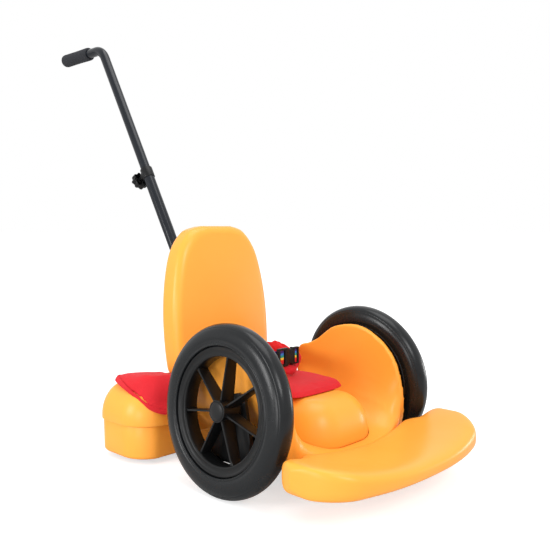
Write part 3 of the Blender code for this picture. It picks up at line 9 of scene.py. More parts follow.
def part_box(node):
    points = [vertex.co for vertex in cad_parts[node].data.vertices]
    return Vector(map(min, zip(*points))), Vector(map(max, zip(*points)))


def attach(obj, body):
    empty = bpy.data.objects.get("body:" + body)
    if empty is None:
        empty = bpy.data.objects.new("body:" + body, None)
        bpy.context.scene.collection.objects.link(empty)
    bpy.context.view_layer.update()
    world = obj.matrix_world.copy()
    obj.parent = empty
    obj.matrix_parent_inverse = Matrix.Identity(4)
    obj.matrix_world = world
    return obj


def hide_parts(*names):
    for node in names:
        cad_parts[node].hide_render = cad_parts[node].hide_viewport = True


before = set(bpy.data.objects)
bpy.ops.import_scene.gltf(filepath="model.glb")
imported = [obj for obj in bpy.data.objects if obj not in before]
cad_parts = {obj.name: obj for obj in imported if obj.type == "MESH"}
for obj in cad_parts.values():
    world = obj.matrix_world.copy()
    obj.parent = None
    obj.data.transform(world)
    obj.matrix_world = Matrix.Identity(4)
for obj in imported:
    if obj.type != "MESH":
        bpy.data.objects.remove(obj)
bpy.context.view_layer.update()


# Stage: a plain pale floor under soft studio light, seen from low in front of the near wheel.
# Floor and sky are white to the camera and to reflections, and the floor keeps the soft shadow
# under the wheels.
def soft_box(name, place, aim, size, power):
    """Square lamp that faces a point."""
    light = bpy.data.lights.new(name, "AREA")
    light.shape = "SQUARE"
    light.size = size
    light.energy = power
    holder = bpy.data.objects.new(name, light)
    bpy.context.scene.collection.objects.link(holder)
    holder.location = place
    holder.rotation_euler = (Vector(aim) - Vector(place)).to_track_quat("-Z", "Y").to_euler()


soft_box("side_box", (-2.6, 0.45, 0.85), (0, -0.2, 0.2), 0.9, 27)
soft_box("front_box", (-0.7, -2.6, 1.9), (0, -0.2, 0.2), 1.0, 30)
soft_box("near_box", (-1.9, -0.75, 0.35), (-0.1, -0.25, 0.12), 0.6, 6.5)
soft_box("far_box", (2.3, -1.2, 0.25), (0, -0.3, 0.15), 0.5, 8)
soft_box("top_box", (0.2, -0.4, 2.8), (0, -0.1, 0.1), 1.8, 30)

camera = bpy.data.cameras.new("view")
camera.lens = 45.7
camera.sensor_width = 36
eye = bpy.data.objects.new("view", camera)
eye.location = (-0.952, -1.116, 0.446)
eye.rotation_euler = (radians(90 - 3.92), 0, radians(-46.07))
bpy.context.scene.collection.objects.link(eye)
bpy.context.scene.camera = eye
bpy.context.scene.view_settings.view_transform = "Standard"


def fill(step, values):
    """Sets a node's plain input values."""
    for key, value in values.items():
        step.inputs[key].default_value = value


def node(made, kind, values={}, **settings):
    """Node of a material or a world with its settings and its plain input values."""
    step = made.node_tree.nodes.new("ShaderNode" + kind)
    for key, value in settings.items():
        setattr(step, key, value)
    fill(step, values)
    return step


def wire(made, *links):
    """Links nodes: source, its output, target, its input."""
    for source, output, target, entry in links:
        made.node_tree.links.new(source.outputs[output], target.inputs[entry])


world = bpy.data.worlds.new("studio")
bpy.context.scene.world = world
world.use_nodes = True
sky = world.node_tree.nodes["Background"]
fill(sky, {"Color": (1, 1, 1, 1)})
rays = node(world, "LightPath")
seen = node(world, "Math", operation="MAXIMUM")
shown = node(world, "Math", operation="MAXIMUM")
level = node(world, "MapRange", {"To Min": 0.72, "To Max": 1.0})
wire(world, (rays, "Is Camera Ray", seen, 0), (rays, "Is Glossy Ray", seen, 1),
     (seen, 0, shown, 0), (rays, "Is Transmission Ray", shown, 1), (shown, 0, level, "Value"),
     (level, "Result", sky, "Strength"))


finishes = {}


def finish(name, colour, roughness, metallic=0.0, specular=0.5):
    """Material on one Principled shader, its plain values on the shader's own sockets."""
    made = finishes[name] = bpy.data.materials.new(name)
    made.use_nodes = True
    shader = made.node_tree.nodes["Principled BSDF"]
    fill(shader, {"Base Color": (*colour, 1), "Roughness": roughness, "Metallic": metallic,
                  "Specular IOR Level": specular})
    return made, shader


def as_mesh(name, form):
    """Mesh of a finished bmesh."""
    mesh = bpy.data.meshes.new(name)
    form.to_mesh(mesh)
    form.free()
    return mesh


def linked(name, form):
    """Object at the origin for a finished bmesh."""
    piece = bpy.data.objects.new(name, as_mesh(name, form))
    bpy.context.scene.collection.objects.link(piece)
    return piece


floor_form = bmesh.new()
bmesh.ops.create_circle(floor_form, cap_ends=True, radius=60, segments=96)
floor = linked("floor", floor_form)
floor_paint, floor_shader = finish("white_floor", (0.7, 0.7, 0.7), 0.9, 0.0, 0.0)
fill(floor_shader, {"Emission Color": (1, 1, 1, 1)})
floor_rays = node(floor_paint, "LightPath")
floor_glow = node(floor_paint, "Math", {1: 0.62}, operation="MULTIPLY")
wire(floor_paint, (floor_rays, "Is Camera Ray", floor_glow, 0),
     (floor_glow, 0, floor_shader, "Emission Strength"))
floor.data.materials.append(floor_paint)


# Seat body: one hollow orange polyethylene moulding, 3.5 mm thick. A flat-topped dome whose plan
# is a narrow saddle between the wheels and a wide box behind them; the handle's foot goes down
# through a hole in its top.
WHEEL_LINE = -0.269025
GAP = 0.0003
QUARTER = pi / 2
BODY_WALL = 0.0035
BODY_TOP = 0.146
BODY_ROUND = 0.052
BODY_BAND = 0.006
BODY_REAR = 0.35
PARTING = 0.07
REAR_PARTING = 0.0745
NOSE_Y = -0.052
NOSE_RADIUS = 0.064
NOSE_X = 0.026
SADDLE_HALF_WIDTH = 0.09
SADDLE_REAR = 0.164
TUB_REAR = 0.146
REAR_FRONT = 0.196
REAR_HALF_WIDTH = 0.2235
FRONT_CORNER = 0.065
REAR_CORNER = 0.04
POLE_RADIUS = 0.0122
POLE_HOLE = POLE_RADIUS + 0.0015
POLE_Y = 0.279 + WHEEL_LINE


def at(x, y, z):
    """Point of the frame, its y given from the part's own zero."""
    return Vector((x, y + WHEEL_LINE, z))


def smooth_step(value):
    """0 to 1 with soft ends."""
    value = min(max(value, 0.0), 1.0)
    return value * value * (3 - 2 * value)


def quarter_turns(count):
    """Angles from 0 to a right angle."""
    return [QUARTER * i / count for i in range(count + 1)]


def full_turns(count):
    """Angles of a whole turn, the last left out."""
    return [2 * pi * i / count for i in range(count)]


def arc(centre, radius, start, end, count):
    """Plan points of an arc between two angles."""
    angles = [start + (end - start) * i / count for i in range(count + 1)]
    return [(centre[0] + radius * cos(angle), centre[1] + radius * sin(angle))
            for angle in angles]


def rear_corners(inset):
    """Front and rear corner of the wide rear part, on the left side."""
    radius = max(REAR_CORNER - inset, 0.004)
    front = (REAR_HALF_WIDTH - FRONT_CORNER, REAR_FRONT + FRONT_CORNER)
    rear = (REAR_HALF_WIDTH - inset - radius, BODY_REAR - inset - radius)
    return arc(front, FRONT_CORNER - inset, -QUARTER, 0, 14) + arc(rear, radius, 0, QUARTER, 12)


def both_sides(half):
    """Whole plan from its left half, drawn in from the front's middle to the rear's."""
    rear_x, rear_y = half[-1]
    front_x, front_y = half[0]
    left = ([(front_x * i / 4, front_y) for i in range(4)] + half
            + [(rear_x * (1 - i / 6), rear_y) for i in range(1, 7)])
    return left + [(-x, y) for x, y in reversed(left[1:-1])]


def body_plan(inset):
    """Plan of the body: round nose, straight saddle, hollow corner and the wide rear part."""
    nose = arc((NOSE_X, NOSE_Y), NOSE_RADIUS - inset, -QUARTER, 0, 14)
    sides = [(SADDLE_HALF_WIDTH - inset, NOSE_Y + (SADDLE_REAR - NOSE_Y) * i / 8)
             for i in range(1, 8)]
    hollow = arc((SADDLE_HALF_WIDTH + 0.03, SADDLE_REAR), 0.03 + inset, 2 * QUARTER, QUARTER, 12)
    return both_sides(nose + sides + hollow + rear_corners(inset))


def body_foot(along):
    """Height of the parting line, which steps up behind the tub."""
    rise = smooth_step((along - TUB_REAR) / (REAR_FRONT - TUB_REAR))
    return PARTING + (REAR_PARTING - PARTING) * rise


def body_rings(grow):
    """Rings of the dome from the parting line up to its flat top, grown by a width."""
    rings = [[at(x, y, body_foot(y) - grow) for x, y in body_plan(-grow)]]
    for angle in quarter_turns(20):
        inset = BODY_ROUND * (1 - cos(angle)) - grow * cos(angle)
        ring = []
        for x, y in body_plan(inset):
            low = body_foot(y) + BODY_BAND
            ring.append(at(x, y, low + (BODY_TOP - low + grow) * sin(angle)))
        rings.append(ring)
    return rings


def skinned(rings, ends=(True, True)):
    """Grid laid over closed rings of as many points, its seam merged and its ends filled."""
    columns = len(rings[0]) + 1
    form = bmesh.new()
    bmesh.ops.create_grid(form, x_segments=columns - 1, y_segments=len(rings) - 1, size=1)
    form.verts.ensure_lookup_table()
    for vert in form.verts:
        row, column = divmod(vert.index, columns)
        vert.co = rings[row][column % (columns - 1)]
    first = [form.verts[i] for i in range(columns)]
    last = [form.verts[i] for i in range(len(form.verts) - columns, len(form.verts))]
    for filled, row in zip(ends, (first, last)):
        if filled:
            form.faces.new(row[:-1])
    bmesh.ops.remove_doubles(form, verts=form.verts, dist=0.000004)
    bmesh.ops.recalc_face_normals(form, faces=form.faces)
    return form


def modified(piece, kind, **settings):
    """Adds a modifier with its settings."""
    step = piece.modifiers.new(kind.lower(), kind)
    for key, value in settings.items():
        setattr(step, key, value)
    return piece


def applied(piece):
    """Applies a piece's modifiers."""
    graph = bpy.context.evaluated_depsgraph_get()
    mesh = bpy.data.meshes.new_from_object(piece.evaluated_get(graph))
    piece.modifiers.clear()
    piece.data = mesh
    return piece


def cut(piece, form, operation="DIFFERENCE"):
    """Cuts a bmesh out of a piece, or joins it on."""
    tool = linked("tool", form)
    applied(modified(piece, "BOOLEAN", operation=operation, solver="EXACT", object=tool))
    bpy.data.objects.remove(tool)
    return piece


def walled(piece, thickness, offset=-1.0):
    """Gives a skin its wall."""
    return applied(modified(piece, "SOLIDIFY", thickness=thickness, offset=offset,
                            use_even_offset=True))


def broken_edges(piece, width, limit=50):
    """Rounds the sharp edges a little."""
    return applied(modified(piece, "BEVEL", width=width, segments=2, limit_method="ANGLE",
                            angle_limit=radians(limit)))


def remeshed(piece, voxel, passes):
    """Voxel remesh and relaxing, which leaves soft round edges."""
    modified(piece, "REMESH", mode="VOXEL", voxel_size=voxel)
    return applied(modified(piece, "SMOOTH", factor=0.5, iterations=passes))


def fitted(piece, body, slot, source=None, angle=None):
    """Shades a piece smooth in its slot's material, sharp over an angle, and puts it on its body,
    in place of a solid of the frame where it stands for one."""
    piece.data.materials.clear()
    piece.data.materials.append(finishes[slot])
    piece.data.shade_smooth()
    if angle:
        piece.data.set_sharp_from_angle(angle=radians(angle))
    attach(piece, body)
    if source:
        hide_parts(source)


def rod(low, high, radius, segments):
    """bmesh of a cylinder between two points."""
    low, high = Vector(low), Vector(high)
    turn = (high - low).to_track_quat("Z", "Y").to_matrix().to_4x4()
    form = bmesh.new()
    bmesh.ops.create_cone(form, cap_ends=True, segments=segments, radius1=radius, radius2=radius,
                          depth=(high - low).length,
                          matrix=Matrix.Translation((low + high) / 2) @ turn)
    return form


def surface(name, colour, roughness, metallic, specular, grain, shades=None, gloss=None):
    """Material with a fine even grain as a bump (scale, depth, strength, detail), a slow drift
    between two shades, and one of the roughness as handling leaves it (low, high, scale)."""
    made, shader = finish(name, colour, roughness, metallic, specular)
    scale, depth, strength, detail = grain
    coords = node(made, "TexCoord")
    noise = node(made, "TexNoise", {"Scale": scale, "Detail": detail})
    bump = node(made, "Bump", {"Strength": strength, "Distance": depth})
    wire(made, (coords, "Object", noise, "Vector"), (noise, "Fac", bump, "Height"),
         (bump, "Normal", shader, "Normal"))
    if shades:
        shade_drift(made, shader, coords, *shades)
    if gloss:
        low, high, scale = gloss
        noise = node(made, "TexNoise", {"Scale": scale, "Detail": 3.0})
        spread = node(made, "MapRange",
                      {"From Min": 0.3, "From Max": 0.7, "To Min": low, "To Max": high})
        wire(made, (coords, "Object", noise, "Vector"), (noise, "Fac", spread, "Value"),
             (spread, "Result", shader, "Roughness"))


def shade_drift(made, shader, coords, low, high, scale):
    """Slow drift between two close shades."""
    noise = node(made, "TexNoise", {"Scale": scale, "Detail": 3.0})
    mix = node(made, "Mix", {6: (*low, 1), 7: (*high, 1)}, data_type="RGBA")
    wire(made, (coords, "Object", noise, "Vector"), (noise, "Fac", mix, "Factor"),
         (mix, 2, shader, "Base Color"))


surface("orange_moulding", (1.0, 0.39, 0.05), 0.4, 0.0, 0.3, (620, 0.0004, 0.14, 2.0),
        ((0.98, 0.375, 0.044), (1.0, 0.405, 0.056), 9), (0.29, 0.36, 24))

seat_body = linked("seat_body", skinned(body_rings(0.0), (False, True)))
walled(seat_body, BODY_WALL)
cut(seat_body, rod((0, POLE_Y, 0.1), (0, POLE_Y, 0.17), POLE_HOLE, 48))
broken_edges(seat_body, 0.0008)
fitted(seat_body, "chassis", "orange_moulding", "seat_body_shell", 40)


# Rear skirt: an open-bottomed orange moulding with a flat deck, screwed up under the wide rear
# part of the body. The body's edge overhangs it by a few millimetres.
SKIRT_WALL = 0.004
SKIRT_INSET = 0.003
SKIRT_LOW_INSET = SKIRT_INSET + 0.001
SKIRT_ROUND = 0.008
SKIRT_FOOT = 0.01
SKIRT_TOP = REAR_PARTING - GAP
SKIRT_DECK = 0.005
SKIRT_SET_BACK = 0.004


def skirt_ring(inset, height):
    """Ring of the skirt: the rear plan alone, its front wall a little behind the body's."""
    plan = [(x, max(y, REAR_FRONT + SKIRT_SET_BACK + inset)) for x, y in rear_corners(inset)]
    return [at(x, y, height) for x, y in both_sides(plan)]


mouth = SKIRT_LOW_INSET + SKIRT_ROUND
skirt_rings = [skirt_ring(SKIRT_INSET + SKIRT_WALL, SKIRT_TOP - SKIRT_DECK),
               skirt_ring(SKIRT_LOW_INSET + SKIRT_WALL, SKIRT_FOOT + SKIRT_ROUND + SKIRT_WALL),
               skirt_ring(mouth + SKIRT_WALL, SKIRT_FOOT + SKIRT_WALL * 0.5),
               skirt_ring(mouth + SKIRT_WALL * 0.8, SKIRT_FOOT + 0.0006),
               skirt_ring(mouth + SKIRT_WALL * 0.4, SKIRT_FOOT)]
skirt_rings += [skirt_ring(SKIRT_LOW_INSET + SKIRT_ROUND * (1 - sin(turn)),
                           SKIRT_FOOT + SKIRT_ROUND * (1 - cos(turn)))
                for turn in quarter_turns(8)]
skirt_rings += [skirt_ring(SKIRT_INSET + inset, SKIRT_TOP - down)
                for inset, down in ((0, 0.0012), (0.0004, 0.0003), (0.0014, 0))]
rear_skirt = linked("rear_skirt", skinned(skirt_rings))
fitted(rear_skirt, "chassis", "orange_moulding", "rear_lower_shell", 50)


# Side-guard tub: one orange moulding 10 mm thick, a floor in front of the body that sweeps up
# into two high wings beside the wheels, its rim full and round. The body stands in it. The solid
# of the frame, a little shrunk, is its core, and the remesh joins the two.
CAMBER = radians(5.6)
WHEEL_X = 0.19
WHEEL_HEIGHT = 0.143642
GUARD_FROM_WHEEL = 0.032
TUB_WALL = 0.01
TUB_FRONT = -0.1445
TUB_FLOOR = 0.0694
TUB_FOOT = -0.1095
TUB_COLUMNS = 36
TUB_VOXEL = 0.0021
CORE_SHRINK = 0.0014
BODY_GAP_IN_TUB = 0.0012
GUARD_EDGE = [
    (TUB_FOOT, TUB_FLOOR), (TUB_FOOT - 0.0065, 0.1), (TUB_FOOT - 0.0065, 0.14),
    (-0.101, 0.195), (-0.067, 0.233), (-0.018, 0.2535), (0.04, 0.2455), (0.084, 0.217),
    (0.112, 0.204), (TUB_REAR - 0.014, 0.198), (TUB_REAR, 0.18), (TUB_REAR, 0.14),
    (TUB_REAR - 0.004, 0.1), (TUB_REAR - 0.008, TUB_FLOOR)]


def spline_points(knots, per_span):
    """Catmull-Rom curve through the knots, ends included."""
    out = []
    for i in range(len(knots) - 1):
        before, a, b = (Vector(knots[k]) for k in (max(i - 1, 0), i, i + 1))
        after = Vector(knots[min(i + 2, len(knots) - 1)])
        for step in range(per_span):
            t = step / per_span
            out.append(0.5 * ((2 * a) + (b - before) * t
                              + (2 * before - 5 * a + 4 * b - after) * t * t
                              + (3 * a - before - 3 * b + after) * t ** 3))
    out.append(Vector(knots[-1]))
    return out


def mirrored(points):
    """The same points on the other side."""
    return [Vector((-p.x, p.y, p.z)) for p in points]


def merged(source):
    """bmesh of a solid of the frame, its doubled points merged."""
    form = bmesh.new()
    form.from_mesh(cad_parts[source].data)
    bmesh.ops.remove_doubles(form, verts=form.verts, dist=0.00002)
    return form


def guard_x(height):
    """Outer face of a wing, parallel to the cambered wheel."""
    return (WHEEL_X - GUARD_FROM_WHEEL / cos(CAMBER)
            - (height - WHEEL_HEIGHT) * tan(CAMBER))


def tub_point(edge, share, t):
    """Point of the tub between the middle of its floor (t = 0) and its rim (t = 1)."""
    lift = max(edge.y - TUB_FLOOR, 0.0)
    edge_x = guard_x(edge.y) - TUB_WALL
    floor_y = TUB_FRONT + (TUB_REAR - 0.008 - TUB_FRONT) * smooth_step(share)
    points = (Vector((0.0, floor_y, TUB_FLOOR)),
              Vector((edge_x * 0.72, floor_y + (edge.x - floor_y) * 0.3, TUB_FLOOR)),
              Vector((guard_x(TUB_FLOOR + lift * 0.35) - TUB_WALL,
                      floor_y + (edge.x - floor_y) * 0.85, TUB_FLOOR + lift * 0.22)),
              Vector((edge_x, edge.x, edge.y)))
    s = 1 - t
    return (points[0] * s ** 3 + points[1] * 3 * s * s * t
            + points[2] * 3 * s * t * t + points[3] * t ** 3)


rim_line = spline_points(GUARD_EDGE, 10)
rim_last = len(rim_line) - 1
crest = max(range(len(rim_line)), key=lambda row: rim_line[row].y)
front_rim, rear_rim = rim_line[:crest + 1], rim_line[:crest - 1:-1]


def rim_limit(point, t, rim, way):
    """How far forward (way 1) or back (way -1) a point of the wing may stand behind its rim."""
    steep = smooth_step((point.z - TUB_FLOOR) / 0.012) * smooth_step((t - 0.5) / 0.4)
    foot = tub_point(rim[0], (1 - way) / 2, t).y
    edge = float(np.interp(point.z, [p.y for p in rim], [p.x for p in rim]))
    return foot + (edge + way * 0.04 * (1 - t) - foot) * steep


def tub_section(row, flat=False):
    """Closed section of the tub: its upper face from rim to rim, then its under face, which lies
    a wall's thickness away; flat joins both."""
    upper, under = [], []
    for k in range(TUB_COLUMNS + 1):
        t = k / TUB_COLUMNS
        point = tub_point(rim_line[row], row / rim_last, t)
        point.y = min(max(point.y, rim_limit(point, t, front_rim, 1)),
                      rim_limit(point, t, rear_rim, -1))
        upper.append(point + Vector((0, WHEEL_LINE, 0)))
    for k, point in enumerate(upper):
        slope = upper[min(k + 2, TUB_COLUMNS)] - upper[max(k - 2, 0)]
        away = Vector((slope.z, 0, -slope.x)).normalized() if k else Vector((0, 0, -1))
        corner = (smooth_step((k / TUB_COLUMNS - 0.85) / 0.15)
                  * max(1 - min(row, rim_last - row) / 8, 0))
        under.append(point + away.lerp(Vector((1, 0, -1)), corner) * TUB_WALL)
    if flat:
        upper = under = [(a + b) / 2 for a, b in zip(upper, under)]
    return mirrored(reversed(upper[1:])) + upper + under[::-1] + mirrored(under[1:])


tub_rings = [tub_section(0, True)] + [tub_section(row) for row in range(len(rim_line))]
tub_rings.append(tub_section(rim_last, True))
tub_form = skinned(tub_rings, (False, False))
core = merged("side_guard_tub")
for vert in core.verts:
    vert.co -= vert.normal * CORE_SHRINK
tub_form.from_mesh(as_mesh("core", core))
guard_tub = linked("guard_tub", tub_form)
remeshed(guard_tub, TUB_VOXEL, 6)
cut(guard_tub, skinned(body_rings(BODY_GAP_IN_TUB)))
fitted(guard_tub, "chassis", "orange_moulding", "side_guard_tub", 50)


# Footrest: a thick crescent of orange foam-filled moulding in front of the tub, rounded all over,
# its ends raised beside the wheels. Two steel tubes from under the tub are pushed into it.
FOOT_HALF_WIDTH = 0.222
FOOT_FRONT = -0.285
FOOT_REAR = -0.141
FOOT_UNDER = 0.05
FOOT_TOP = 0.081
FOOT_END_ROUND = 0.013
FOOT_TUBE = (0.07, 0.0528)
FOOT_TUBE_HOLE = 0.0063
FOOT_TUBE_TIP = -0.5088


def powered(value, power):
    """A sine or cosine raised to a power with its sign kept, for rounded-square sections."""
    return copysign(abs(value) ** power, value)


def corner_cut(radius, across):
    """How far a round end corner takes an edge back at a distance from the middle."""
    into = max(radius - (FOOT_HALF_WIDTH - abs(across)), 0.0)
    return radius - sqrt(max(radius ** 2 - into ** 2, 0.0))


def foot_ring(across):
    """Rounded section of the footrest at a distance from the middle."""
    share = abs(across) / FOOT_HALF_WIDTH
    wing = min(abs(across) / (guard_x(TUB_FLOOR) - TUB_WALL), 1.0)
    inner = TUB_FRONT - 0.0012 + wing * (0.0148 + 0.0102 * wing)
    step = smooth_step((abs(across) - FOOT_HALF_WIDTH * 0.62) / (FOOT_HALF_WIDTH * 0.14))
    full_front = FOOT_FRONT + 0.046 * share ** 2.6
    full_rear = inner + (FOOT_REAR - inner) * step
    front = full_front + corner_cut(0.062, across)
    rear = full_rear - corner_cut(0.028, across)
    closing = (rear - front) / (full_rear - full_front)
    top = FOOT_TOP + 0.026 * share * share
    into = max(abs(across) - (FOOT_HALF_WIDTH - FOOT_END_ROUND), 0.0) / FOOT_END_ROUND
    shy = FOOT_END_ROUND * (1 - sqrt(max(1 - into * into, 0.0)))
    half = max((rear - front) / 2 - shy, 0.002)
    tall = max((top - FOOT_UNDER) / 2 * (0.72 + 0.28 * closing) - shy, 0.001)
    ring = []
    for turn in full_turns(72):
        along = (front + rear) / 2 + WHEEL_LINE + half * powered(cos(turn), 2 / 5.6)
        up = (top + FOOT_UNDER) / 2 + tall * powered(sin(turn), 2 / 2.8)
        ring.append(Vector((across, along, up)))
    return ring


foot_places = [FOOT_HALF_WIDTH * sin(pi * (k / 96 - 0.5)) for k in range(97)]
foot_platform = linked("foot_platform", skinned([foot_ring(across) for across in foot_places]))
for sign in (1, -1):
    hole = [(sign * FOOT_TUBE[0], along, FOOT_TUBE[1]) for along in (FOOT_TUBE_TIP, -0.4)]
    cut(foot_platform, rod(*hole, FOOT_TUBE_HOLE, 40))
fitted(foot_platform, "chassis", "orange_moulding", "footrest", 60)


# Backrest: a thick orange shield, foam under a moulded skin, nearly upright at its sides and with
# one long taper to a blunt top. Its edges are rounded front and back and its face is crowned.
BACK_LEAN = radians(4.4)
BACK_FOOT = 0.16
BACK_HALF = 0.028
BACK_HALF_WIDTH = 0.126
BACK_LENGTH = (0.4475 - BACK_FOOT) / cos(BACK_LEAN)
BACK_EDGE = 0.018
BACK_CROWN = 0.003
BACK_OUTLINE = [
    (0.93, 0.0), (0.972, 0.035), (1.0, 0.2), (0.995, 0.4), (0.945, 0.6), (0.85, 0.78),
    (0.725, 0.89), (0.54, 0.97), (0.31, 1.0)]
back_place = (Matrix.Translation((0, 0.229 + WHEEL_LINE, BACK_FOOT))
              @ Matrix.Rotation(-BACK_LEAN, 4, "X"))


def back_ring(inset, depth, scale=1.0):
    """Outline of the backrest drawn in by a width, at a depth; scale shrinks it to its middle."""
    foot, top = BACK_OUTLINE[0][0] * BACK_HALF_WIDTH, BACK_OUTLINE[-1][0] * BACK_HALF_WIDTH
    half = [Vector((foot * i / 6, 0.0)) for i in range(6)]
    half += spline_points([(BACK_HALF_WIDTH * x, BACK_LENGTH * y) for x, y in BACK_OUTLINE], 8)
    half += [Vector((top * (1 - i / 5), BACK_LENGTH)) for i in range(1, 6)]
    middle = BACK_LENGTH * 0.5
    ring = []
    for x, y in half:
        draw = inset * min(x / 0.03, 1.0)
        up = y + inset * (1 - 2 * smooth_step(y / BACK_LENGTH))
        ring.append(Vector(((x - draw) * scale, depth, middle + (up - middle) * scale)))
    return [back_place @ p for p in ring + mirrored(reversed(ring[1:-1]))]


back_rings = [back_ring(BACK_EDGE, BACK_HALF, scale) for scale in (0.15, 0.4, 0.7, 0.9)]
for side, turns in ((1, quarter_turns(12)), (-1, reversed(quarter_turns(12)))):
    back_rings += [back_ring(BACK_EDGE * (1 - sin(turn)),
                             side * (BACK_HALF - BACK_EDGE * (1 - cos(turn))))
                   for turn in turns]
back_rings += [back_ring(BACK_EDGE, -BACK_HALF - BACK_CROWN * (1 - scale ** 2), scale)
               for scale in (0.97, 0.92, 0.85, 0.75, 0.6, 0.45, 0.3, 0.15, 0.05)]
back_shield = linked("back_shield", skinned(back_rings))
fitted(back_shield, "chassis", "orange_moulding", "backrest", 60)


# Under-frame: a folded steel plate, two tubes that carry the footrest, and moulded nylon axle
# brackets whose feet are bolted under the plate. Steel is powder coated black, bolts are plated.
def eased(name, source, body, slot, width=0.0, angle=35):
    """Piece from its solid, merged, with smooth round faces and, at a width, broken edges."""
    form = merged(source)
    bmesh.ops.dissolve_limit(form, angle_limit=radians(0.8), verts=form.verts,
                             edges=form.edges)
    piece = linked(name, form)
    if width:
        broken_edges(piece, width, 55)
    fitted(piece, body, slot, source, angle)


surface("black_painted_steel", (0.004, 0.006, 0.01), 0.2, 0.0, 0.35,
        (900, 0.00004, 0.1, 2.0), gloss=(0.16, 0.26, 30))
surface("black_nylon", (0.0045, 0.0048, 0.0052), 0.36, 0.0, 0.24,
        (900, 0.00015, 0.3, 2.0), gloss=(0.3, 0.44, 40))
surface("bright_steel", (0.6, 0.6, 0.58), 0.28, 1.0, 0.5,
        (700, 0.00006, 0.4, 2.0), gloss=(0.2, 0.42, 60))

eased("plate_painted", "chassis_plate", "chassis", "black_painted_steel", 0.0006)
for side in ("left", "right"):
    eased("foot_tube_painted_" + side, "footrest_tube_" + side, "chassis", "black_painted_steel")
    eased("bracket_moulding_" + side, "axle_bracket_" + side, "chassis", "black_nylon", 0.0008)
    for number in ("1", "2"):
        eased(f"plated_bolt_{side}_{number}", f"bracket_bolt_{side}_{number}", "chassis",
              "bright_steel")


# Push wheels: solid rubber tyres on seven-spoked black nylon rims, leaning in at the top by 5.6
# degrees. Each turns on two ball bearings about a fixed axle, and a domed cap closes the hub.
WHEEL_R = 0.1443
TYRE_SEAT = 0.1073
TYRE_WIDEST = TYRE_SEAT + 0.01
TYRE_HALF = 0.021
RIM_HALF = 0.017
RIM_OUT = TYRE_SEAT - GAP
RIM_IN = 0.089
HUB_R = 0.0165
HUB_HALF = 0.0185
HUB_BORE = 0.0113
SPOKES = 7
SPOKE_START = 0.606
SPOKE_WIDE = 0.005
CAP_R = 0.0183
CAP_FOOT = HUB_HALF + GAP
CAP_RISE = 0.0034


def turned(outline, steps, closed=True):
    """bmesh of a radius and height outline spun once round Z."""
    form = bmesh.new()
    verts = [form.verts.new((radius, 0, height)) for radius, height in outline]
    edges = [form.edges.new(pair) for pair in zip(verts, verts[1:])]
    if closed:
        edges.append(form.edges.new((verts[-1], verts[0])))
    bmesh.ops.spin(form, geom=verts + edges, cent=(0, 0, 0), axis=(0, 0, 1), dvec=(0, 0, 0),
                   angle=2 * pi, steps=steps, use_merge=True, use_duplicate=False)
    bmesh.ops.remove_doubles(form, verts=form.verts, dist=0.000002)
    bmesh.ops.recalc_face_normals(form, faces=form.faces)
    return form


def placed(name, form, place):
    """Piece from a bmesh, put in its place in the mesh itself."""
    form.transform(place)
    return linked(name, form)


def middle(source):
    """Translation to the middle of a solid's box."""
    low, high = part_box(source)
    return Matrix.Translation((Vector(low) + Vector(high)) / 2)


def tyre_outline():
    """Flat seat, a bead lip at the rim, convex walls and a tread cap, a moulded line each side."""
    bead = [(0, 0.86), (0.0002, 0.93), (0.001, 0.972), (0.002, 0.982), (0.0029, 0.96),
            (0.0036, 0.915), (0.005, 0.93), (0.0068, 0.962), (0.0085, 0.986)]
    outline = [(TYRE_SEAT + out, -share * TYRE_HALF) for out, share in bead]
    for i in range(97):
        angle = -QUARTER + pi * i / 96
        across = TYRE_HALF * powered(sin(angle), 0.85)
        radius = TYRE_WIDEST + (WHEEL_R - TYRE_WIDEST) * abs(cos(angle)) ** 0.8
        from_line = min(abs(i - 22), abs(i - 74))
        lift = 0.0
        if from_line < 2:
            lift = (-0.0007, -0.0003)[from_line]
        elif i < 21 or i > 75:
            lift = -0.0002
        outline.append((radius + lift * cos(angle) ** 2, across + lift * sin(angle)))
    return outline + [(TYRE_SEAT + out, share * TYRE_HALF) for out, share in reversed(bead)]


def blade_mesh():
    """Deep blade of the rim along X, drafted to its edges and flared into hub and band."""
    start = HUB_R - 0.003
    reach = RIM_IN + 0.003 - start
    blade = bmesh.new()
    bmesh.ops.create_cube(blade, size=1.0)

    def lengthways(over):
        return [e for e in blade.edges if abs(e.verts[0].co.x - e.verts[1].co.x) > over]

    bmesh.ops.subdivide_edges(blade, edges=lengthways(0.5), cuts=11)
    bmesh.ops.bevel(blade, geom=[e for e in lengthways(0.01) if e.calc_face_angle(0) > 1.0],
                    offset=0.12, segments=2, profile=0.5, affect="EDGES", material=-1)
    for vert in blade.verts:
        share = vert.co.x + 0.5
        flare = (1 + 1.3 * max(0.0, (share - 0.86) / 0.14) ** 2
                 + 0.6 * max(0.0, (0.16 - share) / 0.16) ** 2)
        draft = 1 - 0.3 * abs(vert.co.z) * 2
        vert.co = Vector((start + reach * share, vert.co.y * SPOKE_WIDE * flare * draft,
                          vert.co.z * (0.029 - 0.008 * share)))
    return as_mesh("blade", blade)


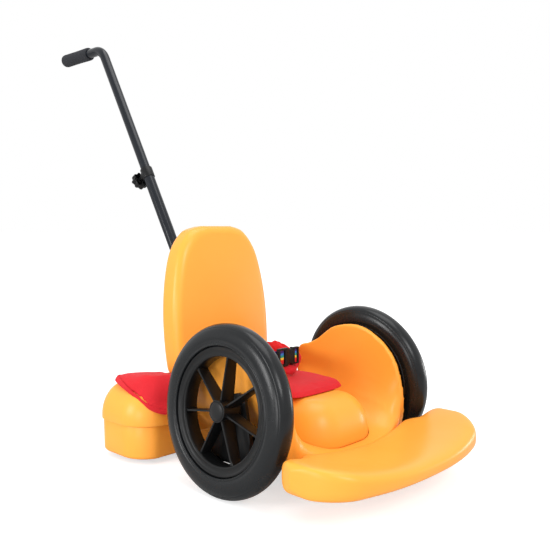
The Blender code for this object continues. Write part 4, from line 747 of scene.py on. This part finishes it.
def rim_form():
    """Rim band with rolled lips, the hub barrel and the blades that flare into both."""
    lip = [(RIM_OUT - inward, RIM_HALF - down) for inward, down in (
        (0, 0.0026), (0.0004, 0.0011), (0.0015, 0.0002), (0.003, 0), (0.0042, 0.0006),
        (0.0052, 0.0016), (0.007, 0.0026), (0.0095, 0.0032), (0.012, 0.0032))]
    lip += [(RIM_IN + out, RIM_HALF - down) for out, down in (
        (0.0042, 0.0027), (0.0028, 0.0022), (0.0016, 0.0026), (0.0006, 0.0038), (0, 0.006))]
    band = lip + [(RIM_IN - 0.0004, 0.004), (RIM_IN - 0.0006, 0), (RIM_IN - 0.0004, -0.004)]
    form = turned(band + [(radius, -height) for radius, height in reversed(lip)], 112)
    barrel = [(HUB_BORE, HUB_HALF), (HUB_R - 0.001, HUB_HALF), (HUB_R, HUB_HALF - 0.001)]
    barrel = [(radius, -height) for radius, height in barrel] + barrel[::-1]
    form.from_mesh(as_mesh("hub", turned(barrel, 56)))
    blade = blade_mesh()
    for number in range(SPOKES):
        turn = Matrix.Rotation(SPOKE_START + 2 * pi * number / SPOKES, 4, "Z")
        blade.transform(turn)
        form.from_mesh(blade)
        blade.transform(turn.inverted())
    return form


surface("tyre_rubber", (0.006, 0.007, 0.008), 0.25, 0.0, 0.28, (380, 0.0003, 0.16, 4.0),
        ((0.005, 0.006, 0.007), (0.008, 0.009, 0.01), 14), (0.22, 0.29, 30))

cap_outline = [(0, CAP_FOOT - 0.0012)]
cap_outline += [(CAP_R - inward, CAP_FOOT + up) for inward, up in (
    (0.008, -0.0012), (0.008, 0), (0.0006, 0), (0, 0.0006), (0, 0.0015), (0.0006, 0.0021),
    (0.0018, 0.0022), (0.0026, 0.0014))]
for turn in quarter_turns(16)[1:-1]:
    cap_outline.append(((CAP_R - 0.0026) * cos(turn),
                        CAP_FOOT + 0.0014 + CAP_RISE * sin(turn)))
cap_outline.append((0, CAP_FOOT + 0.0014 + CAP_RISE))

for side, sign in (("left", 1), ("right", -1)):
    outward = Vector((sign * cos(CAMBER), 0, sin(CAMBER)))
    upward = Vector((-sign * sin(CAMBER), 0, cos(CAMBER)))
    lean = Matrix((upward.cross(outward), upward, outward)).transposed().to_4x4()
    place = middle("tyre_" + side) @ lean
    body = "wheel_" + side
    fitted(placed("rubber_tyre_" + side, turned(tyre_outline(), 128), place),
           body, "tyre_rubber", "tyre_" + side, 70)
    fitted(placed("seven_spoke_rim_" + side, rim_form(), place),
           body, "black_nylon", "spoked_rim_" + side, 38)
    fitted(placed("domed_cap_" + side, turned(cap_outline, 56, False), place),
           body, "black_nylon", "hub_cap_" + side, 50)
    for source, rider in (("outer_bearing_", body), ("inner_bearing_", body),
                          ("bearing_spacer_", "chassis"), ("axle_", "chassis")):
        eased("steel_" + source + side, source + side, rider, "bright_steel")


# Castors: pressed steel base plates, black nylon forks on kingpins, and small grey rubber wheels
# on plated axles. Two stand under the front of the chassis plate and two inside the rear skirt.
surface("grey_tread", (0.16, 0.16, 0.165), 0.62, 0.0, 0.5, (800, 0.0002, 0.3, 2.0),
        ((0.13, 0.13, 0.135), (0.19, 0.19, 0.19), 60))

tread_side = [
    (0.0034, 0.0078), (0.007, 0.008), (0.0078, 0.007), (0.016, 0.0066), (0.017, 0.0078),
    (0.0205, 0.008), (0.022, 0.0066), (0.0228, 0.004)]
castor_outline = ([(radius, -height) for radius, height in tread_side] + [(0.023, 0)]
                  + tread_side[::-1])
for corner in ("front_left", "front_right", "rear_left", "rear_right"):
    place = middle("castor_wheel_" + corner) @ Matrix.Rotation(QUARTER, 4, "Y")
    fitted(placed("castor_tread_" + corner, turned(castor_outline, 56), place),
           "roller_" + corner, "grey_tread", "castor_wheel_" + corner, 50)
    eased("fork_moulding_" + corner, "castor_fork_" + corner, "fork_" + corner, "black_nylon",
          0.0005)
    eased("steel_castor_axle_" + corner, "castor_axle_" + corner, "fork_" + corner, "bright_steel")
    eased("steel_castor_base_" + corner, "castor_base_" + corner, "chassis", "bright_steel", 0.0004)


# Push handle: a bent steel pole in a nylon socket, and a thinner tube that slides in it, both
# gloss black. A bracket screwed to the backrest is clamped round the pole's foot.
HANDLE_LEAN = radians(30.3)
CORNER_HEIGHT = 0.236
GRIP_R = 0.0156
POLE_TUBE_WALL = 0.001
POLE_BEND = 0.06
TOP_TUBE = (0.0109, 0.0094)
TOP_BEND = 0.044
TUBE_OVERLAP = 0.11
TUBE_SIDES = 40
STUD_HOLE = 0.0043
SCREW_PLACES = ((-0.031, 0.024), (0.031, 0.024), (-0.031, 0.088), (0.031, 0.088))
TO_REAR = Matrix.Rotation(-QUARTER, 4, "X")
lean_way = Vector((0, sin(HANDLE_LEAN), cos(HANDLE_LEAN)))
pole_corner = Vector((0, POLE_Y, CORNER_HEIGHT))
pole_top = pole_corner + lean_way * ((0.576 - CORNER_HEIGHT) / cos(HANDLE_LEAN))
top_corner = pole_corner + lean_way * ((0.89 - GRIP_R - CORNER_HEIGHT) / cos(HANDLE_LEAN))


def bend(corner, towards_start, towards_end, radius, count):
    """Points of the arc that rounds a corner between two straight runs."""
    start = Vector(towards_start).normalized()
    end = Vector(towards_end).normalized()
    half = start.angle(end) / 2
    centre = corner + (start + end).normalized() * (radius / sin(half))
    first = corner + start * (radius / tan(half)) - centre
    last = corner + end * (radius / tan(half)) - centre
    axis, whole = first.rotation_difference(last).to_axis_angle()
    return [centre + Matrix.Rotation(whole * i / count, 3, axis) @ first for i in range(count + 1)]


def tube_form(route, outer, inner):
    """Tube along a route in the middle plane, with its bore and both end faces."""
    aside = Vector((1, 0, 0))
    rings = []
    for radius, order in ((outer, range(len(route))), (inner, reversed(range(len(route))))):
        for i in order:
            way = (route[min(i + 1, len(route) - 1)] - route[max(i - 1, 0)]).normalized()
            rings.append([route[i] + (aside * cos(a) + way.cross(aside) * sin(a)) * radius
                          for a in full_turns(TUBE_SIDES)])
    return skinned(rings + [rings[0]], (False, False))


clamp_place = Matrix.Translation(pole_top) @ Matrix.Rotation(-HANDLE_LEAN, 4, "X")
knob_place = clamp_place @ Matrix.Translation((0, 0, -0.0085)) @ TO_REAR
stud_hole = [knob_place @ Vector((0, 0, height)) for height in (0.0055, 0.034)]

pole_route = ([Vector((0, POLE_Y, 0.0748))] + bend(pole_corner, (0, 0, -1), lean_way, POLE_BEND, 16)
              + [pole_top])
pole = linked("pole_painted", tube_form(pole_route, POLE_RADIUS, POLE_RADIUS - POLE_TUBE_WALL))
cut(pole, rod(*stud_hole, STUD_HOLE, 24))
fitted(pole, "chassis", "black_painted_steel", "lower_pole", 40)
top_end = top_corner + Vector((0, 0.056 + 0.115 - 0.0043, 0))
top_route = ([pole_top - lean_way * TUBE_OVERLAP]
             + bend(top_corner, -lean_way, (0, 1, 0), TOP_BEND, 18) + [top_end])
top_tube = linked("top_tube_painted", tube_form(top_route, *TOP_TUBE))
fitted(top_tube, "handle", "black_painted_steel", "upper_tube", 40)
eased("back_bracket_painted", "backrest_bracket", "chassis", "black_painted_steel", 0.0008, 30)
screw_outline = [
    (0, 0), (0.0042, 0), (0.0042, 0.0008), (0.0034, 0.0018), (0.0019, 0.0023), (0.0018, 0.001),
    (0, 0.001)]
for number, (across, up) in enumerate(SCREW_PLACES, 1):
    place = back_place @ Matrix.Translation((across, BACK_HALF + 0.0043, up)) @ TO_REAR
    fitted(placed(f"back_screw_{number}", turned(screw_outline, 24, False), place),
           "chassis", "bright_steel", angle=40)
eased("socket_moulding", "pole_socket", "chassis", "black_nylon", 0.0, 40)
grommet_outline = [
    (0.0125, 0), (0.0182, 0), (0.0182, 0.0014), (0.0174, 0.0028), (0.0158, 0.0037),
    (0.014, 0.004), (0.013, 0.0038), (0.0125, 0.0032)]
grommet_place = Matrix.Translation((0, POLE_Y, BODY_TOP + GAP))
fitted(placed("grommet_ring", turned(grommet_outline, 64), grommet_place),
       "chassis", "black_nylon", "pole_grommet", 40)


# Height clamp: a split nylon collar on the pole's top end with a side boss, and a lobed knob,
# hollow towards the pole, whose steel stud presses on the inner tube.
KNOB_R = 0.0195
KNOB_LOBES = 8
KNOB_FLUTE = 0.0035
BOSS_R = 0.0075
collar_outline = [
    (0.0125, -0.022), (0.0131, -0.022), (0.0138, -0.0212), (0.0139, -0.02), (0.0139, 0.0015),
    (0.0135, 0.0026), (0.0128, 0.003), (0.0114, 0.003), (0.0114, 0.0003), (0.0125, 0.0003)]
collar = linked("collar_moulding", turned(collar_outline, 64))
collar.data.transform(clamp_place)
boss = [knob_place @ Vector((0, 0, height)) for height in (0.0128, 0.0239)]
cut(collar, rod(*boss, BOSS_R, 40), "UNION")
cut(collar, rod(*stud_hole, STUD_HOLE, 24))
broken_edges(collar, 0.0005)
fitted(collar, "chassis", "black_nylon", "clamp_collar", 40)


def lobed(radius, height, flute=KNOB_FLUTE):
    """Ring of the knob with its lobes."""
    ring = []
    for angle in full_turns(96):
        wave = radius - flute * (0.5 - 0.5 * cos(KNOB_LOBES * angle)) * radius / KNOB_R
        ring.append(Vector((wave * cos(angle), wave * sin(angle), height)))
    return ring


knob_rings = [lobed(radius, height, 0) for radius, height in (
    (0.004, 0.0112), (0.004, 0.029), (0.006, 0.029), (0.0064, 0.0295), (0.0072, 0.0374))]
knob_rings += [lobed(radius, height) for radius, height in (
    (0.0166, 0.0378), (0.0174, 0.0368), (0.018, 0.0278), (0.0183, 0.0271), (0.0189, 0.0269),
    (KNOB_R, 0.0275))]
knob_rings += [lobed(0.0155 + 0.004 * cos(turn), 0.0374 + 0.0045 * sin(turn))
               for turn in quarter_turns(8)]
knob_rings += [lobed(0.012, 0.0419), lobed(0.0116, 0.0416), lobed(0.006, 0.0416, 0.001),
               lobed(0.001, 0.0416, 0)]
knob = placed("knob_moulding", skinned(knob_rings), knob_place)
fitted(knob, "knob", "black_nylon", "clamp_knob", 40)


# Grip: a sleeve of closed-cell foam pushed over the end of the top tube, soft and matt, with a
# rounded mouth and a closed rear end.
GRIP_BORE = 0.0113
surface("black_foam", (0.02, 0.021, 0.024), 0.86, 0.0, 0.3, (1100, 0.0004, 0.55, 3.0),
        ((0.014, 0.015, 0.018), (0.034, 0.036, 0.042), 160))
low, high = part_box("handle_grip")
grip_long = high[1] - low[1]
grip_outline = [
    (GRIP_BORE, 0.0), (GRIP_R - 0.0032, 0.0), (GRIP_R - 0.0014, 0.0009),
    (GRIP_R - 0.0003, 0.0026), (GRIP_R, 0.006), (GRIP_R - 0.0004, grip_long * 0.35),
    (GRIP_R - 0.0004, grip_long * 0.65), (GRIP_R, grip_long - 0.008),
    (GRIP_R - 0.0006, grip_long - 0.0045), (GRIP_R - 0.0022, grip_long - 0.0018),
    (GRIP_R - 0.0052, grip_long - 0.0003), (0.004, grip_long), (0, grip_long),
    (0, grip_long - 0.004), (GRIP_BORE, grip_long - 0.004)]
grip_place = Matrix.Translation((0, low[1], (low[2] + high[2]) / 2)) @ TO_REAR
grip = placed("foam_grip", turned(grip_outline, 64), grip_place)
fitted(grip, "handle", "black_foam", "handle_grip", 60)


# Seat pad: thin foam in a red coated fabric cover, laid over the moulded seat and drooping round
# both wheel wells, with ears beside the backrest. A folded band of the same fabric is sewn round
# its edge.
PAD_TOP = 0.1645
PAD_FLAT = 0.1478
PAD_EDGE = 0.008
PAD_VOXEL = 0.0034
PAD_PRESSURE = 4.0
PAD_SWELL = 0.0026
SWELL_FRAMES = 20
UNDER_BACK = (0.132, 0.19, 0.315)
HEM_HALF = 0.0019
HEM_HALF_TALL = 0.0047
HEM_LEAN = 0.7
PAD_RIM = [
    ((0, -0.046, PAD_FLAT), (0, -0.01)), ((0.04, -0.045, 0.148), (0.03, -0.008)),
    ((0.065, -0.04, 0.149), (0.045, -0.004)), ((0.077, -0.018, 0.149), (0.05, 0.01)),
    ((0.083, 0.03, 0.1485), (0.053, 0.04)), ((0.088, 0.09, 0.143), (0.056, 0.095)),
    ((0.1, 0.136, 0.128), (0.066, 0.15)), ((0.13, 0.172, 0.108), (0.096, 0.19)),
    ((0.165, 0.188, 0.096), (0.135, 0.218)), ((0.192, 0.21, 0.106), (0.158, 0.23)),
    ((0.204, 0.245, 0.127), (0.17, 0.25)), ((0.205, 0.286, 0.141), (0.172, 0.274)),
    ((0.195, 0.318, 0.1475), (0.168, 0.288)), ((0.172, 0.312, PAD_FLAT), (0.156, 0.284)),
    ((0.145, 0.286, PAD_FLAT), (0.138, 0.264)), ((0.12, 0.264, PAD_FLAT), (0.112, 0.246)),
    ((0, 0.261, PAD_FLAT), (0, 0.24))]
BACK_POCKET = ((-0.127, -0.029, -0.0006), (0.127, 0.049, 0.04))
pad_hem = spline_points([hem for hem, inner in PAD_RIM], 6)
pad_inner = spline_points([inner for hem, inner in PAD_RIM], 6)

red_fabric, fabric_shader = finish("red_fabric", (0.62, 0.012, 0.02), 0.7, 0.0, 0.22)
fabric_coords = node(red_fabric, "TexCoord")
threads = {"Scale": 330, "Distortion": 0.6, "Detail": 1.0}
warp = node(red_fabric, "TexWave", threads, bands_direction="X")
weft = node(red_fabric, "TexWave", threads, bands_direction="Y")
weave = node(red_fabric, "Math", operation="MULTIPLY")
crease = node(red_fabric, "TexNoise", {"Scale": 38, "Detail": 4.0})
lift = node(red_fabric, "Math", {1: 1.8}, operation="MULTIPLY")
cloth_height = node(red_fabric, "Math", operation="ADD")
cloth_bump = node(red_fabric, "Bump", {"Strength": 0.35, "Distance": 0.0006})
wire(red_fabric, *((fabric_coords, "Object", wave, "Vector") for wave in (warp, weft, crease)),
     (warp, "Fac", weave, 0), (weft, "Fac", weave, 1), (crease, "Fac", lift, 0),
     (weave, 0, cloth_height, 0), (lift, 0, cloth_height, 1),
     (cloth_height, 0, cloth_bump, "Height"), (cloth_bump, "Normal", fabric_shader, "Normal"))
shade_drift(red_fabric, fabric_shader, fabric_coords,
            (0.56, 0.009, 0.016), (0.68, 0.016, 0.026), 30)
fill(fabric_shader, {"Sheen Weight": 0.2, "Sheen Roughness": 0.5, "Sheen Tint": (1, 0.35, 0.35, 1)})


def block(low, high, place):
    """bmesh of a box between two corners of a frame."""
    form = bmesh.new()
    bmesh.ops.create_cube(form, size=1.0)
    for vert in form.verts:
        vert.co = place @ Vector([a + (b - a) * (c + 0.5) for a, b, c in zip(low, high, vert.co)])
    return form


def pad_ring(share, lift, draw=0.0, fill=0.0):
    """Ring of the pad between its middle field (share 0) and its hem (share 1)."""
    left = []
    for hem, inner in zip(pad_hem, pad_inner):
        reach = (hem.xy - inner).length
        slope = fill * smooth_step((PAD_FLAT - hem.z) / 0.03)
        spot = inner.lerp(hem.xy, share + (1.6 * slope - draw) / reach)
        left.append(at(*spot, BODY_TOP + (hem.z - BODY_TOP) * share ** 2 + lift + slope))
    return left + mirrored(reversed(left[1:-1]))


def swelled(piece, pressure, cap, held):
    """Blows a padded piece up with cloth pressure; no point moves further than the cap allows."""
    rest = np.array([v.co for v in piece.data.vertices])
    cloth = piece.modifiers.new("cloth", "CLOTH")
    cloth.settings.use_pressure = True
    cloth.settings.uniform_pressure_force = pressure
    cloth.settings.effector_weights.gravity = 0
    cloth.settings.quality = 5
    for step in range(1, SWELL_FRAMES + 1):
        bpy.context.scene.frame_set(step)
    applied(piece)
    bpy.context.scene.frame_set(1)
    way = np.array([v.co for v in piece.data.vertices]) - rest
    far = np.maximum(np.linalg.norm(way, axis=1), 1e-9)
    way *= (np.minimum(1.0, cap / far) * held(rest))[:, None]
    piece.data.vertices.foreach_set("co", (rest + way).astype(np.float32).ravel())
    return piece


def pad_hold(rest):
    """Only the upper side swells, and not where the backrest stands."""
    free = np.clip((rest[:, 2] - BODY_TOP + 0.045) / 0.04, 0, 1)
    along = rest[:, 1] - WHEEL_LINE
    half, front, rear = UNDER_BACK
    under_back = (np.abs(rest[:, 0]) < half) & (along > front) & (along < rear)
    return np.where(under_back, 0.0, free)


crown = PAD_TOP - BODY_TOP - 0.003
pad_rings = [pad_ring(share, -0.003 * (1 - share ** 4), 0.0035 * share)
             for share in (0.0, 0.3, 0.55, 0.75, 0.9, 1.0)]
pad_rings += [pad_ring(1.0, *rest) for rest in (
    (0.003, 0.0022), (0.0062, 0.0024, 0.0014), (PAD_EDGE, 0.0036, 0.0026))]
for share in (0.94, 0.87, 0.78, 0.67, 0.54, 0.38, 0.2, 0.0):
    swell = PAD_EDGE + (crown - PAD_EDGE) * (1 - share ** 2.4) ** 0.75
    pad_rings.append(pad_ring(share, swell, 0.0036 * share,
                              0.0045 * sin(pi * share ** 0.6)))
cushion = linked("seat_cushion", skinned(pad_rings))
cut(cushion, skinned(body_rings(GAP)))
cut(cushion, block(*BACK_POCKET, back_place))
remeshed(cushion, PAD_VOXEL, 3)
swelled(cushion, PAD_PRESSURE, PAD_SWELL, pad_hold)
applied(modified(cushion, "SUBSURF", levels=1, render_levels=1))
fitted(cushion, "chassis", "red_fabric", "seat_pad")


def hem_rings():
    """Rings of the folded band along the pad's edge, a little puckered by its seam. The band
    leans inward where the pad is flat and stands upright on the flaps."""
    loop = pad_ring(1.0, 0.0)
    rings = []
    way = 0.0
    for i, point in enumerate(loop):
        ahead = loop[(i + 1) % len(loop)]
        along = (ahead - loop[i - 1]).normalized()
        out = Vector((along.y, -along.x, 0)).normalized()
        rest = Vector((0, 0, 1)) - out * HEM_LEAN * (1 - smooth_step((0.15 - point.z) / 0.02))
        pucker = (0.00035 * sin(way * 2 * pi / 0.011)
                  + 0.00025 * sin(way * 2 * pi / 0.037))
        way += (ahead - point).length
        ring = []
        for turn in full_turns(20):
            side = HEM_HALF * powered(cos(turn), 0.8)
            rise = HEM_HALF_TALL * powered(sin(turn), 0.7)
            ring.append(point + out * (side - 0.0012 + pucker * (1 + sin(turn)) / 2)
                        + rest * (0.0045 + rise))
        rings.append(ring)
    return rings + [rings[0]]


hem = linked("pad_hem_band", skinned(hem_rings(), (False, False)))
cut(hem, block(*BACK_POCKET, back_place))
fitted(hem, "chassis", "red_fabric", angle=60)


# Lap belt: padded red fabric parts round the lap with striped webbing sewn along their outside.
# The webbing loops behind the buckle's end bars and shows in its windows. Loose folds of the
# fabric stand above the far strap and hang below the buckle.
BELT_WIDTH = 0.038
BELT_REACH = 0.096
BELT_ANCHOR = 0.186
BELT_DEPTH = BELT_ANCHOR - 0.0445
BELT_END = radians(62)
BELT_HALF_THICK = 0.0026
BELT_SAG = 0.011
BELT_RUMPLE = 0.0006
WEB_WIDTH = 0.025
WEB_COLUMNS = 8
WEB_THICK = 0.0016
BUCKLE_Y = 0.0362
BUCKLE_Z = 0.2038


def belt_point(angle, outward=0.0):
    """Plan point of the belt at an angle from its left anchor, moved outward across the belt."""
    point = Vector((BELT_REACH * cos(angle), BELT_ANCHOR - BELT_DEPTH * sin(angle)))
    normal = Vector((BELT_DEPTH * cos(angle), -BELT_REACH * sin(angle))).normalized()
    return point + normal * outward


def belt_low(angle):
    """Height of the belt's lower edge: on the pad at the anchors, raised in front."""
    return PAD_TOP + GAP + 0.014 * smooth_step(sin(angle))


def belt_form(start, end, count, rumple):
    """Quilted part of the belt between two angles, thinner at its sewn edges and rumpled."""
    rings = []
    for i in range(count + 1):
        angle = start + (end - start) * i / count
        spot = belt_point(angle)
        normal = belt_point(angle, 1.0) - spot
        close = min(1.0, 0.35 + 4.0 * min(i, count - i) / count)
        wave = rumple * (sin(angle * 23.0) + 0.6 * sin(angle * 41.0 + 1.3) - 1.6)
        top = rumple * 1.6 * sin(angle * 9.0 + 0.6)
        tall = BELT_WIDTH - BELT_SAG * smooth_step((sin(angle) - 0.35) / 0.3)
        ring = []
        for turn in full_turns(28):
            up = 0.5 + 0.5 * powered(sin(turn), 0.75)
            seam = 1 - 0.45 * exp(-((abs(up - 0.5) - 0.4) / 0.035) ** 2)
            out = BELT_HALF_THICK * close * seam * powered(cos(turn), 0.6)
            flat = spot + normal * (out + wave * sin(pi * up))
            ring.append(at(*flat, belt_low(angle) + tall * up + top * up * up))
        rings.append(ring)
    return skinned(rings)


belt_gap = GAP / 0.0445
for name, source, start, end, count in (
        ("belt_side_left", "belt_strap_left", 0.0, BELT_END, 64),
        ("belt_side_right", "belt_strap_right", pi, pi - BELT_END, 64),
        ("belt_front", "belt_pad", BELT_END + belt_gap, pi - BELT_END - belt_gap, 56)):
    strap = linked(name, belt_form(start, end, count, BELT_RUMPLE))
    fitted(strap, "chassis", "red_fabric", source)


def fold(name, line, tall, thick, rumple, lie=((0, 1, 0), (0, 0, 1))):
    """Rumpled roll of the belt's fabric along a line, its ends drawn in."""
    rings = []
    spots = spline_points(line, 8)
    for i, spot in enumerate(spots):
        share = i / (len(spots) - 1)
        swell = sin(pi * min(max(share, 0.02), 0.98)) ** 0.45
        ring = []
        for turn in full_turns(32):
            dent = (1 + rumple * sin(3 * turn + 9 * share)
                    + 0.6 * rumple * sin(5 * turn - 17 * share))
            ring.append(spot + Vector(lie[0]) * (thick * swell * dent * cos(turn))
                        + Vector(lie[1]) * (tall * swell * dent * sin(turn)))
        rings.append(ring)
    roll = linked(name, skinned(rings))
    fitted(roll, "chassis", "red_fabric")


fold("belt_fold_upper", [(0.095, -0.085, 0.192), (0.095, -0.105, 0.1945),
                         (0.0915, -0.126, 0.194), (0.084, -0.15, 0.189)],
     0.013, 0.0065, 0.09, ((1, 0, 0), (0, 0, 1)))
fold("belt_fold_lower", [(-0.016, -0.227, 0.18), (0.004, -0.23, 0.1765),
                         (0.021, -0.229, 0.1765), (0.039, -0.22, 0.181)],
     0.009, 0.0058, 0.11)
fold("belt_tail", [(0.033, -0.227, 0.206), (0.0385, -0.2265, 0.199),
                   (0.04, -0.2255, 0.189), (0.035, -0.225, 0.1775)],
     0.0022, 0.0062, 0.06, ((0.9, 0.2, 0.1), (0, 1, 0)))

striped, striped_shader = finish("striped_webbing", (0.1, 0.25, 0.3), 0.78, 0.0, 0.2)
across = node(striped, "UVMap", uv_map="strip")
split = node(striped, "SeparateXYZ")
bands = node(striped, "ValToRGB")
bands.color_ramp.interpolation = "CONSTANT"
stripe_colours = [
    (0.6, 0.015, 0.02), (0.7, 0.03, 0.02), (0.9, 0.62, 0.05), (0.03, 0.36, 0.26),
    (0.05, 0.2, 0.62), (0.05, 0.03, 0.18)]
while len(bands.color_ramp.elements) < len(stripe_colours):
    bands.color_ramp.elements.new(0.5)
for place, (element, colour) in enumerate(zip(bands.color_ramp.elements, stripe_colours)):
    element.position = place / len(stripe_colours)
    element.color = (*colour, 1)
ribs = node(striped, "TexWave", {"Scale": 260, "Distortion": 0.4}, bands_direction="X")
rib_bump = node(striped, "Bump", {"Strength": 0.5, "Distance": 0.0003})
wire(striped, (across, "UV", split, 0), (across, "UV", ribs, "Vector"),
     (ribs, "Fac", rib_bump, "Height"), (rib_bump, "Normal", striped_shader, "Normal"),
     (split, "Y", bands, "Fac"), (bands, "Color", striped_shader, "Base Color"))

web_route = [(*belt_point(radians(a), 0.0044), belt_low(radians(a)) + 0.002)
             for a in range(30, 64, 4)]
web_route += [(x, y, BUCKLE_Z - WEB_WIDTH / 2) for x, y in (
    (0.0345, 0.0472), (0.0292, 0.042), (0.0258, 0.0407), (0.0232, 0.039), (0.0214, 0.0352),
    (0.0198, 0.0342), (0.0178, 0.0346), (0.015, 0.036), (0.0125, 0.0362))]
web_line = spline_points(web_route, 5)
web_lengths = [0.0]
for a, b in zip(web_line, web_line[1:]):
    web_lengths.append(web_lengths[-1] + (b - a).length)
for side, sign in (("left", 1), ("right", -1)):
    strip = bmesh.new()
    bmesh.ops.create_grid(strip, x_segments=WEB_COLUMNS, y_segments=len(web_line) - 1, size=1)
    strip.verts.ensure_lookup_table()
    uv = strip.loops.layers.uv.new("strip")
    for face in strip.faces:
        for loop in face.loops:
            row, column = divmod(loop.vert.index, WEB_COLUMNS + 1)
            loop[uv].uv = (web_lengths[row] / WEB_WIDTH,
                           min(max(column / WEB_COLUMNS, 0.001), 0.999))
    for vert in strip.verts:
        row, column = divmod(vert.index, WEB_COLUMNS + 1)
        spot = web_line[row]
        vert.co = at(sign * spot.x, spot.y, spot.z + WEB_WIDTH * column / WEB_COLUMNS)
    bmesh.ops.recalc_face_normals(strip, faces=strip.faces)
    webbing = linked("webbing_" + side, strip)
    walled(webbing, WEB_THICK, 0.0)
    fitted(webbing, "chassis", "striped_webbing", "belt_webbing_" + side, 50)


# Buckle: a side-release buckle moulded in black nylon, socket and prong half, each with an end
# bar for the webbing, and a waisted middle where two fingers press the arms in.
BUCKLE_HALF = 0.0032
WINDOW_HALF = 0.0134
NOTCH = (0.0035, 0.0192, 0.0062)
buckle_place = Matrix.Translation((0, BUCKLE_Y + WHEEL_LINE, BUCKLE_Z))


def buckle_half(name, low_x, high_x, tall, window, source):
    """Half a buckle: a thick plate with one window, waisted, its edges rounded."""
    half = linked(name, block((low_x, -BUCKLE_HALF, -tall), (high_x, BUCKLE_HALF, tall),
                              buckle_place))
    cut(half, block((window[0], -0.01, -WINDOW_HALF), (window[1], 0.01, WINDOW_HALF),
                    buckle_place))
    for sign in (1, -1):
        notch = [buckle_place @ Vector((NOTCH[0], y, sign * NOTCH[1])) for y in (-0.02, 0.02)]
        cut(half, rod(*notch, NOTCH[2], 64))
    broken_edges(half, 0.0011, 30)
    fitted(half, "chassis", "black_nylon", source, 40)


buckle_half("buckle_body", -0.028, 0.0109, 0.017, (-0.0236, -0.0105), "buckle_socket")
buckle_half("buckle_clip", 0.0112, 0.028, 0.016, (0.0165, 0.0238), "buckle_prongs")
